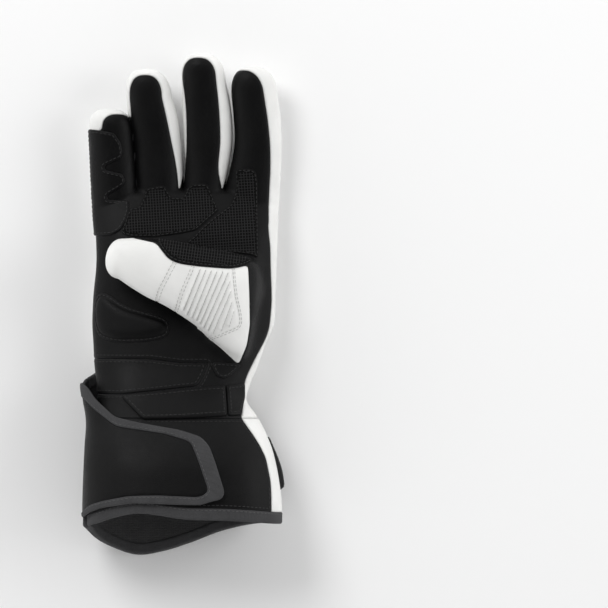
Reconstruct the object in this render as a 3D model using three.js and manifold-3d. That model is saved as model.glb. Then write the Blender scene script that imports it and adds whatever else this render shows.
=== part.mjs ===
// Racing glove for the right hand, lying on its back with the thumb folded across the palm.
// Millimetres. +X runs toward the index finger, +Y toward the fingertips, +Z up out of the palm.
import * as THREE from 'three';
import Module from 'manifold-3d';
import { mergeVertices } from 'three/addons/utils/BufferGeometryUtils.js';

const wasm = await Module();
wasm.setup();

// Driving dimensions
const WALL = 2;                  // leather with its lining
const GAP = 0.3;                 // clearance between neighbouring pieces
const SEAM_LEVEL = 13;           // height of the side seam between the palm side and the back
const FINGER_DEPTH = 24;         // gloved finger, palm side to back
const FINGER_LEVEL = 13.5;       // height of the fingers' centre line at the knuckles
const FINGER_START = 46;         // the finger tubes begin inside the palm here
const FINGER_SEAM = 66;          // and the fingers' own pieces are sewn on here
const KNUCKLE_Y = 60;            // forward of here the fingers curl up
const CURL_RISE = 12;            // how far the curl lifts the middle fingertip
const CURL_REACH = 95;
const PATCH_THICKNESS = 1;       // sewn-on grip patches and edge guard
const HEEL_PAD_THICKNESS = 3;
const STRAP_THICKNESS = 2;
const RIB_WIDTH = 1.6;           // folds of the stretch panel on the thumb
const RIB_HEIGHT = 0.8;
const CUFF_START = -71;          // the cuff is sewn to the hand here
const BINDING_WIDTH = 7.5;
const BINDING_SWELL = 0.5;       // how much a bound edge is thicker than the wall
const PROTECTOR = { start: -83, full: -108, end: -116, left: 30, top: 38, lift: 0.4, thickness: 2 };
const REST_SINK = 1;             // the resting side is pressed flat by this much
const THUMB_ROOT_LEVEL = 20;     // the white back of the thumb starts above here
const THUMB_FREE_LEVEL = 41;     // the free part of the thumb clears the palm above here
const THUMB_MESH_LEVEL = 44;
const TUBE_FULLNESS = 2.6;       // how boxy a rounded section is: 2 is an oval
const FINGER_FULLNESS = 2.3;
const THUMB_FULLNESS = 2.2;
const TIP_FULLNESS = 2.5;
const TIP_STEPS = [0.45, 0.78, 0.95];
const TUBE_SIDES = 22;
const FINGER_SIDES = { outside: 12, lining: 9 };
const THUMB_SIDES = { outside: 14, lining: 10 };
const ARC_STEPS = 8;
const CENTRE = { x: 0.7, y: -0.38 };   // middle of the finished outline

// Cutters reach past the glove to these planes
const SIDE = 90;
const MOUTH_END = -200;
const FINGER_END = 165;
const TOP = 120;
const BELOW = -20;
const MOUTH_REACH = 8;           // the tubes run this far past their first row before a hem cuts them
const SEAM_REACH = 30;

const BLACK = { color: 0x0a0a0a, roughness: 0.6, metalness: 0 };
const WHITE = { color: 0xf2f2f2, roughness: 0.55, metalness: 0 };
const MESH_BLACK = { color: 0x141414, roughness: 0.9, metalness: 0 };
const BINDING_GREY = { color: 0x333333, roughness: 0.8, metalness: 0 };
const LINING_GREY = { color: 0x242424, roughness: 0.9, metalness: 0 };

// Rows of numbers under named columns become objects
function table(columns, rows) {
  return rows.map((row) => Object.fromEntries(columns.map((name, i) => [name, row[i]])));
}

// The hand and cuff as one tube, from the open mouth to the finger roots
const TUBE = table(['y', 'left', 'right', 'bottom', 'top'], [
  [-160, -59.5, 62, 2.3, 76],
  [-116, -59.2, 62, 2.3, 74],
  [-100, -58.7, 59.5, 2.3, 71],
  [-88, -58.2, 56.2, 2.3, 67],
  [-71, -57, 47.6, 2.3, 58.5],
  [-60, -53.2, 40.4, 2.3, 53],
  [-50, -53.3, 42.6, 2.3, 49.5],
  [-40, -54.5, 47, 2.3, 46],
  [-26, -55.5, 52, 0, 43.5],
  [-13, -56.3, 57.3, 0, 42],
  [3, -55.5, 58.3, 0, 41],
  [24, -53.8, 59, 0, 40.5],
  [44, -54.2, 59.8, 0, 38],
  [64, -55.4, 61, 0.5, 27.5],
]);

// The outer layer of the cuff keeps clear of the tube and stands off the wrist as a collar
const COLLAR = table(['y', 'left', 'right', 'bottom', 'top'], [
  [-71, -60.2, 50, 0, 61.5],
  [-60, -62, 45, 0, 58],
  [-52, -63.3, 46, 0, 55],
  [-42, -63, 50, 0, 51],
]);

const FINGERS = {
  little: {
    tip: { x: -45.3, y: 122.3 },
    rows: table(['y', 'left', 'right', 'blackLeft', 'blackRight'], [
      [62, -55.4, -26.8, -70, -27],
      [87, -56.4, -30, -70, -27],
      [110, -57.5, -30.8, -50, -29.5],
    ]),
    blackTip: { x: -40, y: 119.2 },
  },
  ring: {
    tip: { x: -22.6, y: 147.2 },
    rows: table(['y', 'left', 'right', 'blackLeft', 'blackRight'], [
      [62, -28.5, 0.5, -29, -1.4],
      [84, -28.2, 1, -31, -3],
      [106, -30.2, -0.6, -33, -7.3],
      [118, -32, -2.4, -33, -9.8],
      [129, -34.5, -6, -33.2, -12.3],
    ]),
    blackTip: { x: -23, y: 143.5 },
  },
  middle: {
    tip: { x: 12.2, y: 157.2 },
    rows: table(['y', 'left', 'right', 'blackLeft', 'blackRight'], [
      [62, -1.8, 27, -1, 27],
      [73, 0.4, 27, -0.8, 25.2],
      [81, 1.7, 28.5, 1, 23.3],
      [103, 1, 31.8, 2.4, 24.2],
      [127, 0, 30.2, 1.7, 23],
      [140, 0, 27.5, 0, 21.6],
    ]),
    blackTip: { x: 10, y: 154.5 },
  },
  index: {
    tip: { x: 44.2, y: 148.6 },
    rows: table(['y', 'left', 'right', 'blackLeft', 'blackRight'], [
      [62, 26, 61, 24, 54.5],
      [82, 29.4, 61.6, 24, 55.4],
      [103, 32.8, 62.4, 24, 55],
      [115, 32.3, 62, 24, 53.8],
      [131, 30.2, 59.8, 26, 51.4],
    ]),
    blackTip: { x: 38, y: 146.5 },
  },
};

// The thumb from its root inside the palm to its last full section, by its two edges
const THUMB = table(['upperX', 'upperY', 'lowerX', 'lowerY', 'level', 'depth'], [
  [52, 14, 44, -30, 26, 28],
  [47, 27, 38, -37, 36, 32],
  [34, 30.5, 24, -27, 44, 33],
  [18, 34, 9, -13.5, 50, 30],
  [2, 37, -9, -1.5, 54.8, 26.4],
  [-12, 39.3, -22, 4.7, 55, 25.2],
  [-24, 41, -32, 10.7, 54.3, 24],
  [-35, 41.3, -42, 17, 53, 22],
]);
const THUMB_TIP = { x: -48.3, y: 30.5, level: 51.5 };

// Outlines seen from above the palm
const PALM_BLACK_RIGHT = [
  [54.5, 66], [54.2, 46], [55.5, 37], [55.8, 24], [56.7, 2.6], [55.2, -15], [52.7, -22.5], [45.1, -36.2],
  [39.5, -47.5], [38.5, -60], [37.5, -71], [37.5, -74],
];
const THUMB_WHITE = [
  [-52, 27], [-50, 36], [-44, 43], [-35, 45], [-23, 43.5], [-14.8, 41.5], [-11.5, 32.5], [-7.5, 27.5],
  [-1, 25], [11.5, 23.5], [30, 22], [41, 24], [42.5, 6], [43, -13], [41, -25.5], [35, -39], [29, -36],
  [15, -23], [2, -13], [-13.5, -4], [-32.5, 6], [-47, 17],
];
const THUMB_MESH = [
  [-14.6, 44], [-14.6, 39.5], [-11, 32.8], [-7, 28], [-0.6, 25.6], [11.5, 24.1], [30, 22.6], [40.6, 24.4],
  [47.5, 28.5], [30, 40],
];
const THUMB_FREE = [[-60, 60], [-60, -8], [-10.5, -8], [4.5, 45], [4.5, 60]];
const GRIP_PATCH = [
  [-32, 60], [-26, 60], [-23, 67.5], [-20, 72.5], [-11, 74.5], [-6.5, 67], [0.5, 66.5], [3.5, 72],
  [10, 75.5], [16, 74.5], [21, 62], [23, 58.5], [9, 46], [-1, 44.5], [-16.5, 42], [-31.5, 43],
  [-36.5, 46], [-33, 54],
];
const THUMB_CROTCH_PATCH = [
  [34.5, 82.5], [42.5, 84.5], [47, 83], [47.5, 59], [48.5, 30], [45, 26.3], [30, 26], [14.5, 29],
  [3.5, 32.5], [5, 40], [16.5, 51.5], [29, 61], [34, 71.5],
];
const EDGE_GUARD = [
  [-70, 110], [-50, 108.7], [-40, 105.5], [-37, 98], [-37.5, 92.5], [-48, 86.5], [-48, 84], [-37.5, 81.5],
  [-34.8, 77], [-36.5, 73.2], [-46.5, 67.5], [-46, 65.3], [-33, 65], [-33, 57.5], [-38.5, 46], [-43, 43.5],
  [-70, 42],
];
const HEEL_PAD = [
  [-54, 2.5], [-51, 7.2], [-46, 6.5], [-36, -1], [-20, -5.5], [-9, -9], [-7, -15], [-9.5, -21],
  [-23, -23.5], [-41.5, -24], [-52.5, -20.5], [-54.5, -8],
];
const WRIST_PANEL = [
  [-70, -33.8], [-20, -34], [-1, -36.5], [17, -36.5], [13.5, -45], [10, -51], [-13.5, -53.5], [-37.5, -56],
  [-70, -56],
];
const THUMB_GUSSET = [[18.5, -36.5], [20, -41.5], [22.5, -45.5], [26, -46.5], [30, -45], [36.5, -38.5]];
const WRIST_STRAP = [
  [27, -50.5], [14.5, -51.5], [-13.5, -54.5], [-36, -56.5], [-37.5, -58.5], [-24, -72.2], [-1, -71.7],
  [28.4, -69.7],
];
const STRAP_ANCHOR = [[27.4, -50.5], [39, -49], [37.4, -69], [28.8, -69.7]];
const STRIPE_LEFT = [
  [37.5, -71], [44.8, -81.2], [49.2, -88], [53, -96], [56, -111], [56.4, -122.4], [56, -145],
];
const FLAP_EDGE = [
  [-70, -45], [-59.5, -51.5], [-54.5, -59], [-42, -70], [-26.5, -73.6], [-1.5, -78], [12, -82.2],
  [17.5, -88], [21.2, -98], [27.3, -117.4], [25, -121.8], [19, -122.8], [12, -125.2], [-1.5, -125],
  [-30, -124], [-50, -127], [-70, -134],
];
const FLAP_PANEL_EDGE = [
  [-70, -53], [-62.3, -58.2], [-55.5, -65], [-41.6, -75.8], [-35.7, -77], [-10.8, -80.6], [5.6, -85.6],
  [10, -96.1], [17, -116.6], [11.4, -120.2], [-14, -119], [-32.6, -119.4], [-48.8, -122.4], [-70, -131],
];
const FRONT_HEM = [
  [-70, -137], [-54.5, -137], [-42, -133], [-32.6, -131], [4.8, -134.3], [30, -135], [70, -137.5],
];
const BACK_HEM = [
  [-70, -133], [-62, -136.6], [-53.4, -146.2], [-41.6, -153], [-27.9, -157.1], [-13.6, -155.3],
  [5.2, -149.6], [23.9, -142.5], [42.7, -138], [70, -136.5],
];
const COLLAR_EDGE = [[-70, -50], [-63.3, -50.5], [-61.5, -47.5], [-57.6, -44.8], [30, -44.6], [60, -60]];
const RIBS = table(['topX', 'topY', 'endX', 'endY'], [
  [11.5, 22.5, 0.5, -4.5],
  [14.9, 21.9, 3, -7],
  [18.5, 21.7, 6, -8.8],
  [21.8, 20.9, 8.8, -10.5],
  [25.4, 20.8, 11.2, -12.3],
  [28.8, 20.2, 13.2, -15.2],
  [30, 15, 16, -17],
  [30.6, 8.8, 18.9, -18.8],
  [31.4, 2.6, 24.3, -16.8],
  [32.5, -3.4, 29, -14.8],
]);
const RIB_TRIM = 1;

// Closed solids from a stack of rings, each an array of [x, y, z]
function loft(rings) {
  const sides = rings[0].length;
  const positions = rings.flat(2);
  const faces = [];
  for (let k = 0; k + 1 < rings.length; k += 1) {
    for (let i = 0; i < sides; i += 1) {
      const a = k * sides + i;
      const b = k * sides + (i + 1) % sides;
      faces.push(a, b, b + sides, a, b + sides, a + sides);
    }
  }
  const last = (rings.length - 1) * sides;
  for (let i = 1; i + 1 < sides; i += 1) {
    faces.push(0, i + 1, i, last, last + i, last + i + 1);
  }
  const geometry = new THREE.BufferGeometry();
  geometry.setAttribute('position', new THREE.Float32BufferAttribute(positions, 3));
  geometry.setIndex(faces);
  return solid(geometry);
}

// A geometry whose faces may all point in is turned the right way out
function solid(geometry) {
  const bare = geometry.index ? geometry : geometry.clone();
  for (const name of Object.keys(bare.attributes)) {
    if (name !== 'position') bare.deleteAttribute(name);
  }
  const welded = mergeVertices(bare, 1e-4);
  const vertProperties = new Float32Array(welded.attributes.position.array);
  const triVerts = new Uint32Array(welded.index.array);
  if (signedVolume(vertProperties, triVerts) < 0) {
    for (let i = 0; i < triVerts.length; i += 3) {
      [triVerts[i], triVerts[i + 1]] = [triVerts[i + 1], triVerts[i]];
    }
  }
  return new wasm.Manifold(new wasm.Mesh({ numProp: 3, vertProperties, triVerts }));
}

function signedVolume(points, faces) {
  const corner = (i) => new THREE.Vector3().fromArray(points, faces[i] * 3);
  let sum = 0;
  for (let i = 0; i < faces.length; i += 3) {
    sum += corner(i).dot(corner(i + 1).cross(corner(i + 2)));
  }
  return sum;
}

// One section: a rounded box shape about a centre, across a level direction, flat where it rests
function section({ x, y, z, across, width, depth, floor, fullness, sides }) {
  const ring = [];
  for (let i = 0; i < sides; i += 1) {
    const angle = (i / sides) * 2 * Math.PI;
    const side = Math.sign(Math.cos(angle)) * Math.abs(Math.cos(angle)) ** (2 / fullness);
    const rise = Math.sign(Math.sin(angle)) * Math.abs(Math.sin(angle)) ** (2 / fullness);
    const height = Math.max(z + (depth / 2) * rise, floor);
    ring.push([x + across.x * side * (width / 2), y + across.y * side * (width / 2), height]);
  }
  return ring;
}

const ACROSS = { x: 1, y: 0 };

// A tube from a table, grown or shrunk by an offset, past the table's open end
function tube(rows, offset, closedEnd) {
  const grow = typeof offset === 'function' ? offset : () => offset;
  const rings = rows.map((row, i) => {
    const d = grow(row.y);
    const shift = i === 0 ? -MOUTH_REACH : (i === rows.length - 1 ? d * closedEnd : 0);
    return section({
      x: (row.left + row.right) / 2,
      y: row.y + shift,
      z: (row.bottom - REST_SINK + row.top) / 2,
      across: ACROSS,
      width: row.right - row.left + 2 * d,
      depth: row.top - row.bottom + REST_SINK + 2 * d,
      floor: row.bottom - d,
      fullness: TUBE_FULLNESS,
      sides: TUBE_SIDES,
    });
  });
  return loft(rings);
}

// How wide a rounded tip still is at a share of the way to its end
function tipWidth(share) {
  return (1 - share ** TIP_FULLNESS) ** (1 / TIP_FULLNESS);
}

function finger({ tip, rows }, offset) {
  const last = rows[rows.length - 1];
  const ringAt = (y, left, right, scale) => section({
    x: (left + right) / 2,
    y,
    z: FINGER_LEVEL,
    across: ACROSS,
    width: (right - left + 2 * offset) * scale,
    depth: (FINGER_DEPTH + 2 * offset) * scale,
    floor: BELOW,
    fullness: FINGER_FULLNESS,
    sides: offset < 0 ? FINGER_SIDES.lining : FINGER_SIDES.outside,
  });
  const first = rows[0];
  const rings = [ringAt(FINGER_START, first.left, first.right, 1)];
  rows.forEach((row) => rings.push(ringAt(row.y, row.left, row.right, 1)));
  for (const share of TIP_STEPS) {
    const y = last.y + (tip.y + offset - last.y) * share;
    const drift = (tip.x - (last.left + last.right) / 2) * share;
    rings.push(ringAt(y, last.left + drift, last.right + drift, tipWidth(share)));
  }
  return loft(rings);
}

function thumbSection(row, offset) {
  const across = new THREE.Vector2(row.upperX - row.lowerX, row.upperY - row.lowerY);
  return {
    x: (row.upperX + row.lowerX) / 2,
    y: (row.upperY + row.lowerY) / 2,
    z: row.level,
    width: across.length() + 2 * offset,
    depth: row.depth + 2 * offset,
    across: across.normalize(),
    floor: BELOW,
    fullness: THUMB_FULLNESS,
    sides: offset < 0 ? THUMB_SIDES.lining : THUMB_SIDES.outside,
  };
}

function thumb(offset) {
  const sections = THUMB.map((row) => thumbSection(row, offset));
  const last = sections[sections.length - 1];
  const reach = new THREE.Vector2(THUMB_TIP.x - last.x, THUMB_TIP.y - last.y);
  reach.setLength(reach.length() + offset);
  for (const share of TIP_STEPS) {
    sections.push({
      ...last,
      x: last.x + reach.x * share,
      y: last.y + reach.y * share,
      z: last.z + (THUMB_TIP.level - last.z) * share,
      width: last.width * tipWidth(share),
      depth: last.depth * tipWidth(share),
    });
  }
  return loft(sections.map(section));
}

// Everything above the thumb's centre line, for the seam between its back and its palm side
function aboveThumbSeam(lift) {
  const rows = THUMB.map((row) => thumbSection(row, SEAM_REACH));
  rows.push({ ...rows[rows.length - 1], x: -60, y: 32.5, z: THUMB_TIP.level });
  return loft(rows.map(({ x, y, z, across, width }) => {
    const dx = across.x * (width / 2);
    const dy = across.y * (width / 2);
    return [
      [x - dx, y - dy, z + lift], [x + dx, y + dy, z + lift], [x + dx, y + dy, TOP], [x - dx, y - dy, TOP],
    ];
  }));
}

// A vertical cutter over an outline
function prism(points, from, to) {
  const shape = new THREE.Shape(points.map(([x, y]) => new THREE.Vector2(x, y)));
  const geometry = new THREE.ExtrudeGeometry(shape, { depth: to - from, bevelEnabled: false });
  geometry.translate(0, 0, from);
  return solid(geometry);
}

// An outline moved inward, or outward where the distance is negative
function inset(points, distance) {
  const turn = Math.sign(THREE.ShapeUtils.area(points.map(([x, y]) => new THREE.Vector2(x, y))));
  const count = points.length;
  return points.map(([x, y], i) => {
    const before = points[(i + count - 1) % count];
    const after = points[(i + 1) % count];
    const a = new THREE.Vector2(x - before[0], y - before[1]).normalize();
    const b = new THREE.Vector2(after[0] - x, after[1] - y).normalize();
    const normal = new THREE.Vector2(-a.y - b.y, a.x + b.x).multiplyScalar(turn);
    const stretch = 2 / Math.max(normal.lengthSq(), 1);
    return [x + normal.x * stretch * distance, y + normal.y * stretch * distance];
  });
}

function slab(x0, x1, y0, y1, z0, z1) {
  const geometry = new THREE.BoxGeometry(x1 - x0, y1 - y0, z1 - z0);
  geometry.translate((x0 + x1) / 2, (y0 + y1) / 2, (z0 + z1) / 2);
  return solid(geometry);
}

function join(solids) {
  return solids.reduce((sum, next) => sum.add(next));
}

// The whole gloved hand without and with its thumb
function hand(offset) {
  return join([tube(TUBE, offset, 1), ...Object.values(FINGERS).map((one) => finger(one, offset))]);
}

const CUFF_LAYER = WALL + GAP;
const WRAP = [
  ...TUBE.filter((row) => row.y < COLLAR[0].y).map((row) => ({
    y: row.y,
    left: row.left - CUFF_LAYER,
    right: row.right + CUFF_LAYER,
    bottom: row.bottom - CUFF_LAYER,
    top: row.top + CUFF_LAYER,
  })),
  ...COLLAR,
];

// The black leather of one finger, seen from above the palm
function fingerFront({ rows, blackTip }) {
  const last = rows[rows.length - 1];
  const left = rows.map((row) => [row.blackLeft, row.y]);
  const right = rows.map((row) => [row.blackRight, row.y]).reverse();
  const middle = (last.blackLeft + last.blackRight) / 2;
  const half = (last.blackRight - last.blackLeft) / 2;
  const arc = [];
  for (let i = 1; i < ARC_STEPS; i += 1) {
    const angle = Math.PI * (1 - i / ARC_STEPS);
    const share = Math.sin(angle);
    const drift = (blackTip.x - middle) * share;
    arc.push([middle + drift + half * Math.cos(angle), last.y + (blackTip.y - last.y) * share]);
  }
  return [...left, ...arc, ...right];
}

// The space of the black palm side: above the side seam and inside the black outlines
function palmSide(clearance) {
  const palm = [[-70, -74], [-70, 66], ...PALM_BLACK_RIGHT];
  const outlines = [palm, ...Object.values(FINGERS).map(fingerFront)];
  const level = SEAM_LEVEL + clearance;
  return join(outlines.map((outline) => prism(inset(outline, clearance), level, TOP)));
}

const outer = hand(0);
const inner = hand(-WALL);
const thumbOuter = thumb(0);
const thumbInner = thumb(-WALL);
const wall = outer.add(thumbOuter).subtract(inner.add(thumbInner));
const handWall = wall.intersect(slab(-SIDE, SIDE, CUFF_START + GAP, FINGER_SEAM, BELOW, TOP));
const cuffWall = wall.intersect(slab(-SIDE, SIDE, MOUTH_END, CUFF_START, BELOW, TOP));
const thumbBackSpace = prism(THUMB_WHITE, THUMB_ROOT_LEVEL, TOP).intersect(aboveThumbSeam(0));
const thumbFreeSpace = prism(THUMB_FREE, THUMB_FREE_LEVEL, TOP);

// A thin sewn-on layer over the hand, clear of the thumb
function overlay(outline, thickness, level = SEAM_LEVEL + GAP) {
  const skin = hand(GAP + thickness).subtract(hand(GAP));
  return skin.intersect(prism(outline, level, TOP)).subtract(thumb(GAP));
}

function palmPanel() {
  return handWall.intersect(palmSide(GAP)).subtract(thumbBackSpace).subtract(thumbFreeSpace)
    .subtract(prism(WRIST_PANEL, SEAM_LEVEL, TOP));
}

function backPanel() {
  return handWall.subtract(palmSide(0)).subtract(thumbBackSpace).subtract(thumbFreeSpace);
}

// Where one column of a finger's table stands at some place along the glove
function edgeAt(rows, column, y) {
  const next = rows.findIndex((row) => row.y > y);
  if (next <= 0) return rows[next === 0 ? 0 : rows.length - 1][column];
  const share = (y - rows[next - 1].y) / (rows[next].y - rows[next - 1].y);
  return THREE.MathUtils.lerp(rows[next - 1][column], rows[next][column], share);
}

// The line between two neighbouring fingers, or a side of the hand
const FINGER_NAMES = Object.keys(FINGERS);
const LANE_STEPS = [FINGER_SEAM + GAP, 74, 84, 104, 127, FINGER_END];

function laneEdge(i) {
  return LANE_STEPS.map((y) => {
    if (i === 0) return [-SIDE, y];
    if (i === FINGER_NAMES.length) return [SIDE, y];
    const leftOne = edgeAt(FINGERS[FINGER_NAMES[i - 1]].rows, 'right', y);
    const rightOne = edgeAt(FINGERS[FINGER_NAMES[i]].rows, 'left', y);
    return [(leftOne + rightOne) / 2, y];
  });
}

function fingerWall(i) {
  const lane = [...laneEdge(i), ...laneEdge(i + 1).reverse()];
  return wall.intersect(prism(inset(lane, GAP / 2), BELOW, TOP));
}

function fingerPieces(i) {
  const name = FINGER_NAMES[i];
  return [
    piece(`${name}_finger_front`, fingerWall(i).intersect(palmSide(GAP)), BLACK),
    piece(`${name}_finger_back`, fingerWall(i).subtract(palmSide(0)), WHITE),
  ];
}

function thumbBack() {
  const outline = inset(THUMB_WHITE, GAP);
  const space = prism(outline, THUMB_ROOT_LEVEL, TOP).intersect(aboveThumbSeam(GAP));
  const ribSkin = thumb(RIB_HEIGHT).subtract(thumb(-WALL / 2));
  const strips = RIBS.map((rib) => {
    const along = new THREE.Vector2(rib.endX - rib.topX, rib.endY - rib.topY).normalize();
    const side = new THREE.Vector2(-along.y, along.x).multiplyScalar(RIB_WIDTH / 2);
    const start = { x: rib.topX + along.x * RIB_TRIM, y: rib.topY + along.y * RIB_TRIM };
    const end = { x: rib.endX - along.x * RIB_TRIM, y: rib.endY - along.y * RIB_TRIM };
    return prism([
      [start.x + side.x, start.y + side.y], [start.x - side.x, start.y - side.y],
      [end.x - side.x, end.y - side.y], [end.x + side.x, end.y + side.y],
    ], THUMB_ROOT_LEVEL, TOP);
  });
  const ribs = ribSkin.intersect(join(strips)).intersect(space);
  return wall.intersect(space).add(ribs);
}

function thumbPalmSide() {
  const space = prism(inset(THUMB_FREE, GAP), THUMB_FREE_LEVEL, TOP);
  return wall.intersect(space).subtract(thumbBackSpace);
}

function thumbMesh() {
  const skin = thumb(GAP + PATCH_THICKNESS).subtract(thumb(GAP));
  return skin.intersect(prism(THUMB_MESH, THUMB_MESH_LEVEL, TOP)).subtract(hand(2 * GAP + PATCH_THICKNESS));
}

function wristPanel() {
  return handWall.intersect(prism(inset(WRIST_PANEL, GAP), SEAM_LEVEL + GAP, TOP));
}

// The space of the cuff above its side seam, up to an outline's edge
function aboveHem(edge, level, toward) {
  return prism([...edge, [edge[edge.length - 1][0], toward], [edge[0][0], toward]], level, TOP);
}

function shifted(points, distance) {
  return points.map(([x, y]) => [x, y + distance]);
}

const STRIPE = [...STRIPE_LEFT, [SIDE, STRIPE_LEFT[STRIPE_LEFT.length - 1][1]], [SIDE, CUFF_START]];

function cuffFront() {
  return cuffWall.intersect(aboveHem(shifted(FRONT_HEM, BINDING_WIDTH + GAP), SEAM_LEVEL + GAP, 0));
}

function cuffUnderlap() {
  return cuffFront().subtract(prism(inset(STRIPE, -GAP), BELOW, TOP));
}

function cuffStripe() {
  return cuffFront().intersect(prism(STRIPE, BELOW, TOP));
}

function frontHemBinding() {
  const layer = tube(TUBE, BINDING_SWELL, 1).subtract(tube(TUBE, -WALL - BINDING_SWELL, 1));
  const band = [...FRONT_HEM, ...shifted(FRONT_HEM, BINDING_WIDTH).reverse()];
  return layer.intersect(prism(band, SEAM_LEVEL + GAP, TOP)).subtract(prism(FLAP_EDGE, BELOW, TOP)
    .intersect(wrapWall(BINDING_SWELL + GAP)));
}

function cuffLining() {
  const body = cuffWall.intersect(slab(-SIDE, SIDE, MOUTH_END, 0, BELOW, SEAM_LEVEL));
  return body.intersect(aboveHem(shifted(BACK_HEM, BINDING_WIDTH + GAP), BELOW, 0));
}

function backHemBinding() {
  const layer = tube(TUBE, CUFF_LAYER, 1).subtract(tube(TUBE, -WALL - BINDING_SWELL, 1));
  const band = [...BACK_HEM, ...shifted(BACK_HEM, BINDING_WIDTH).reverse()];
  return layer.intersect(prism(band, BELOW, SEAM_LEVEL));
}

// The outer cuff layer, thickened both ways by a swell
function wrapWall(swell) {
  return tube(WRAP, swell, 0).subtract(tube(WRAP, -WALL - swell, 0));
}

function cuffBack() {
  const body = wrapWall(0).intersect(slab(-SIDE, SIDE, MOUTH_END, 0, BELOW, SEAM_LEVEL));
  const aboveBackHem = aboveHem(shifted(BACK_HEM, BINDING_WIDTH + GAP), BELOW, 0);
  const collar = shifted(COLLAR_EDGE, -BINDING_WIDTH - GAP);
  const belowCollar = [...collar, [SIDE, MOUTH_END], [-SIDE, MOUTH_END]];
  return body.intersect(aboveBackHem).intersect(prism(belowCollar, BELOW, TOP));
}

function collarBinding() {
  const body = wrapWall(0).intersect(slab(-SIDE, SIDE, MOUTH_END, 0, BELOW, SEAM_LEVEL));
  const band = [...COLLAR_EDGE, ...shifted(COLLAR_EDGE, -BINDING_WIDTH).reverse()];
  return body.intersect(prism(band, BELOW, TOP));
}

function cuffFlap() {
  return wrapWall(0).intersect(prism(FLAP_PANEL_EDGE, SEAM_LEVEL + GAP, TOP));
}

function flapBinding() {
  const space = prism(FLAP_EDGE, SEAM_LEVEL + GAP, TOP);
  return wrapWall(0).intersect(space).subtract(prism(inset(FLAP_PANEL_EDGE, -GAP), BELOW, TOP));
}

// The guard swells out of the cuff's side toward the mouth and ends short of the hem
function sideProtector() {
  const { start, full, end, left, top, lift, thickness } = PROTECTOR;
  const swell = (y) => GAP + lift + thickness * THREE.MathUtils.smoothstep(-y, -start, -full);
  const skin = tube(TUBE, swell, 1).subtract(tube(TUBE, GAP, 1));
  return skin.intersect(slab(left, SIDE, end, start, SEAM_LEVEL + 2 * GAP, top));
}

// Forward of the knuckles the glove is curled up, so all pieces are lifted by the same curve
function curl(y) {
  return CURL_RISE * (Math.max(y - KNUCKLE_Y, 0) / CURL_REACH) ** 2;
}

function largest(body) {
  return body.decompose().reduce((best, next) => (next.volume() > best.volume() ? next : best));
}

function piece(name, body, look) {
  const { vertProperties, triVerts } = largest(body).getMesh();
  const positions = Float32Array.from(vertProperties);
  for (let i = 0; i < positions.length; i += 3) {
    positions[i + 2] += curl(positions[i + 1]);
  }
  const geometry = new THREE.BufferGeometry();
  geometry.setAttribute('position', new THREE.BufferAttribute(positions, 3));
  geometry.setIndex(new THREE.BufferAttribute(Uint32Array.from(triVerts), 1));
  geometry.computeVertexNormals();
  const mesh = new THREE.Mesh(geometry, new THREE.MeshStandardMaterial(look));
  mesh.name = name;
  return mesh;
}

const glove = new THREE.Group();
glove.add(
  piece('palm_panel', palmPanel(), BLACK),
  piece('back_panel', backPanel(), WHITE),
  ...FINGER_NAMES.flatMap((name, i) => fingerPieces(i)),
  piece('thumb_back', thumbBack(), WHITE),
  piece('thumb_palm_side', thumbPalmSide(), BLACK),
  piece('thumb_side_mesh', thumbMesh(), MESH_BLACK),
  piece('palm_grip_patch', overlay(GRIP_PATCH, PATCH_THICKNESS), MESH_BLACK),
  piece('thumb_crotch_patch', overlay(THUMB_CROTCH_PATCH, PATCH_THICKNESS), MESH_BLACK),
  piece('edge_guard', overlay(EDGE_GUARD, PATCH_THICKNESS), BLACK),
  piece('heel_pad', overlay(HEEL_PAD, HEEL_PAD_THICKNESS), BLACK),
  piece('wrist_panel', wristPanel(), BLACK),
  piece('thumb_gusset', overlay(THUMB_GUSSET, PATCH_THICKNESS), BLACK),
  piece('wrist_strap', overlay(WRIST_STRAP, STRAP_THICKNESS), BLACK),
  piece('strap_anchor', overlay(STRAP_ANCHOR, STRAP_THICKNESS), BLACK),
  piece('cuff_underlap', cuffUnderlap(), BLACK),
  piece('cuff_side_stripe', cuffStripe(), WHITE),
  piece('cuff_lining', cuffLining(), LINING_GREY),
  piece('cuff_back', cuffBack(), BLACK),
  piece('cuff_flap', cuffFlap(), BLACK),
  piece('flap_binding', flapBinding(), BINDING_GREY),
  piece('collar_binding', collarBinding(), BINDING_GREY),
  piece('front_hem_binding', frontHemBinding(), BINDING_GREY),
  piece('back_hem_binding', backHemBinding(), BINDING_GREY),
  piece('cuff_side_protector', sideProtector(), BLACK),
);
glove.position.set(-CENTRE.x, -CENTRE.y, 0);

export default glove;
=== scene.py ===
"""Racing glove for the right hand, lying on its back with the thumb folded over the palm.

The tables are in millimetres, measured on the glove as seen from above the palm.
The meshes are made in metres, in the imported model's own frame.
"""

import math

import bpy
import numpy as np
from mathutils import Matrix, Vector, noise
from mathutils.bvhtree import BVHTree


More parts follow.
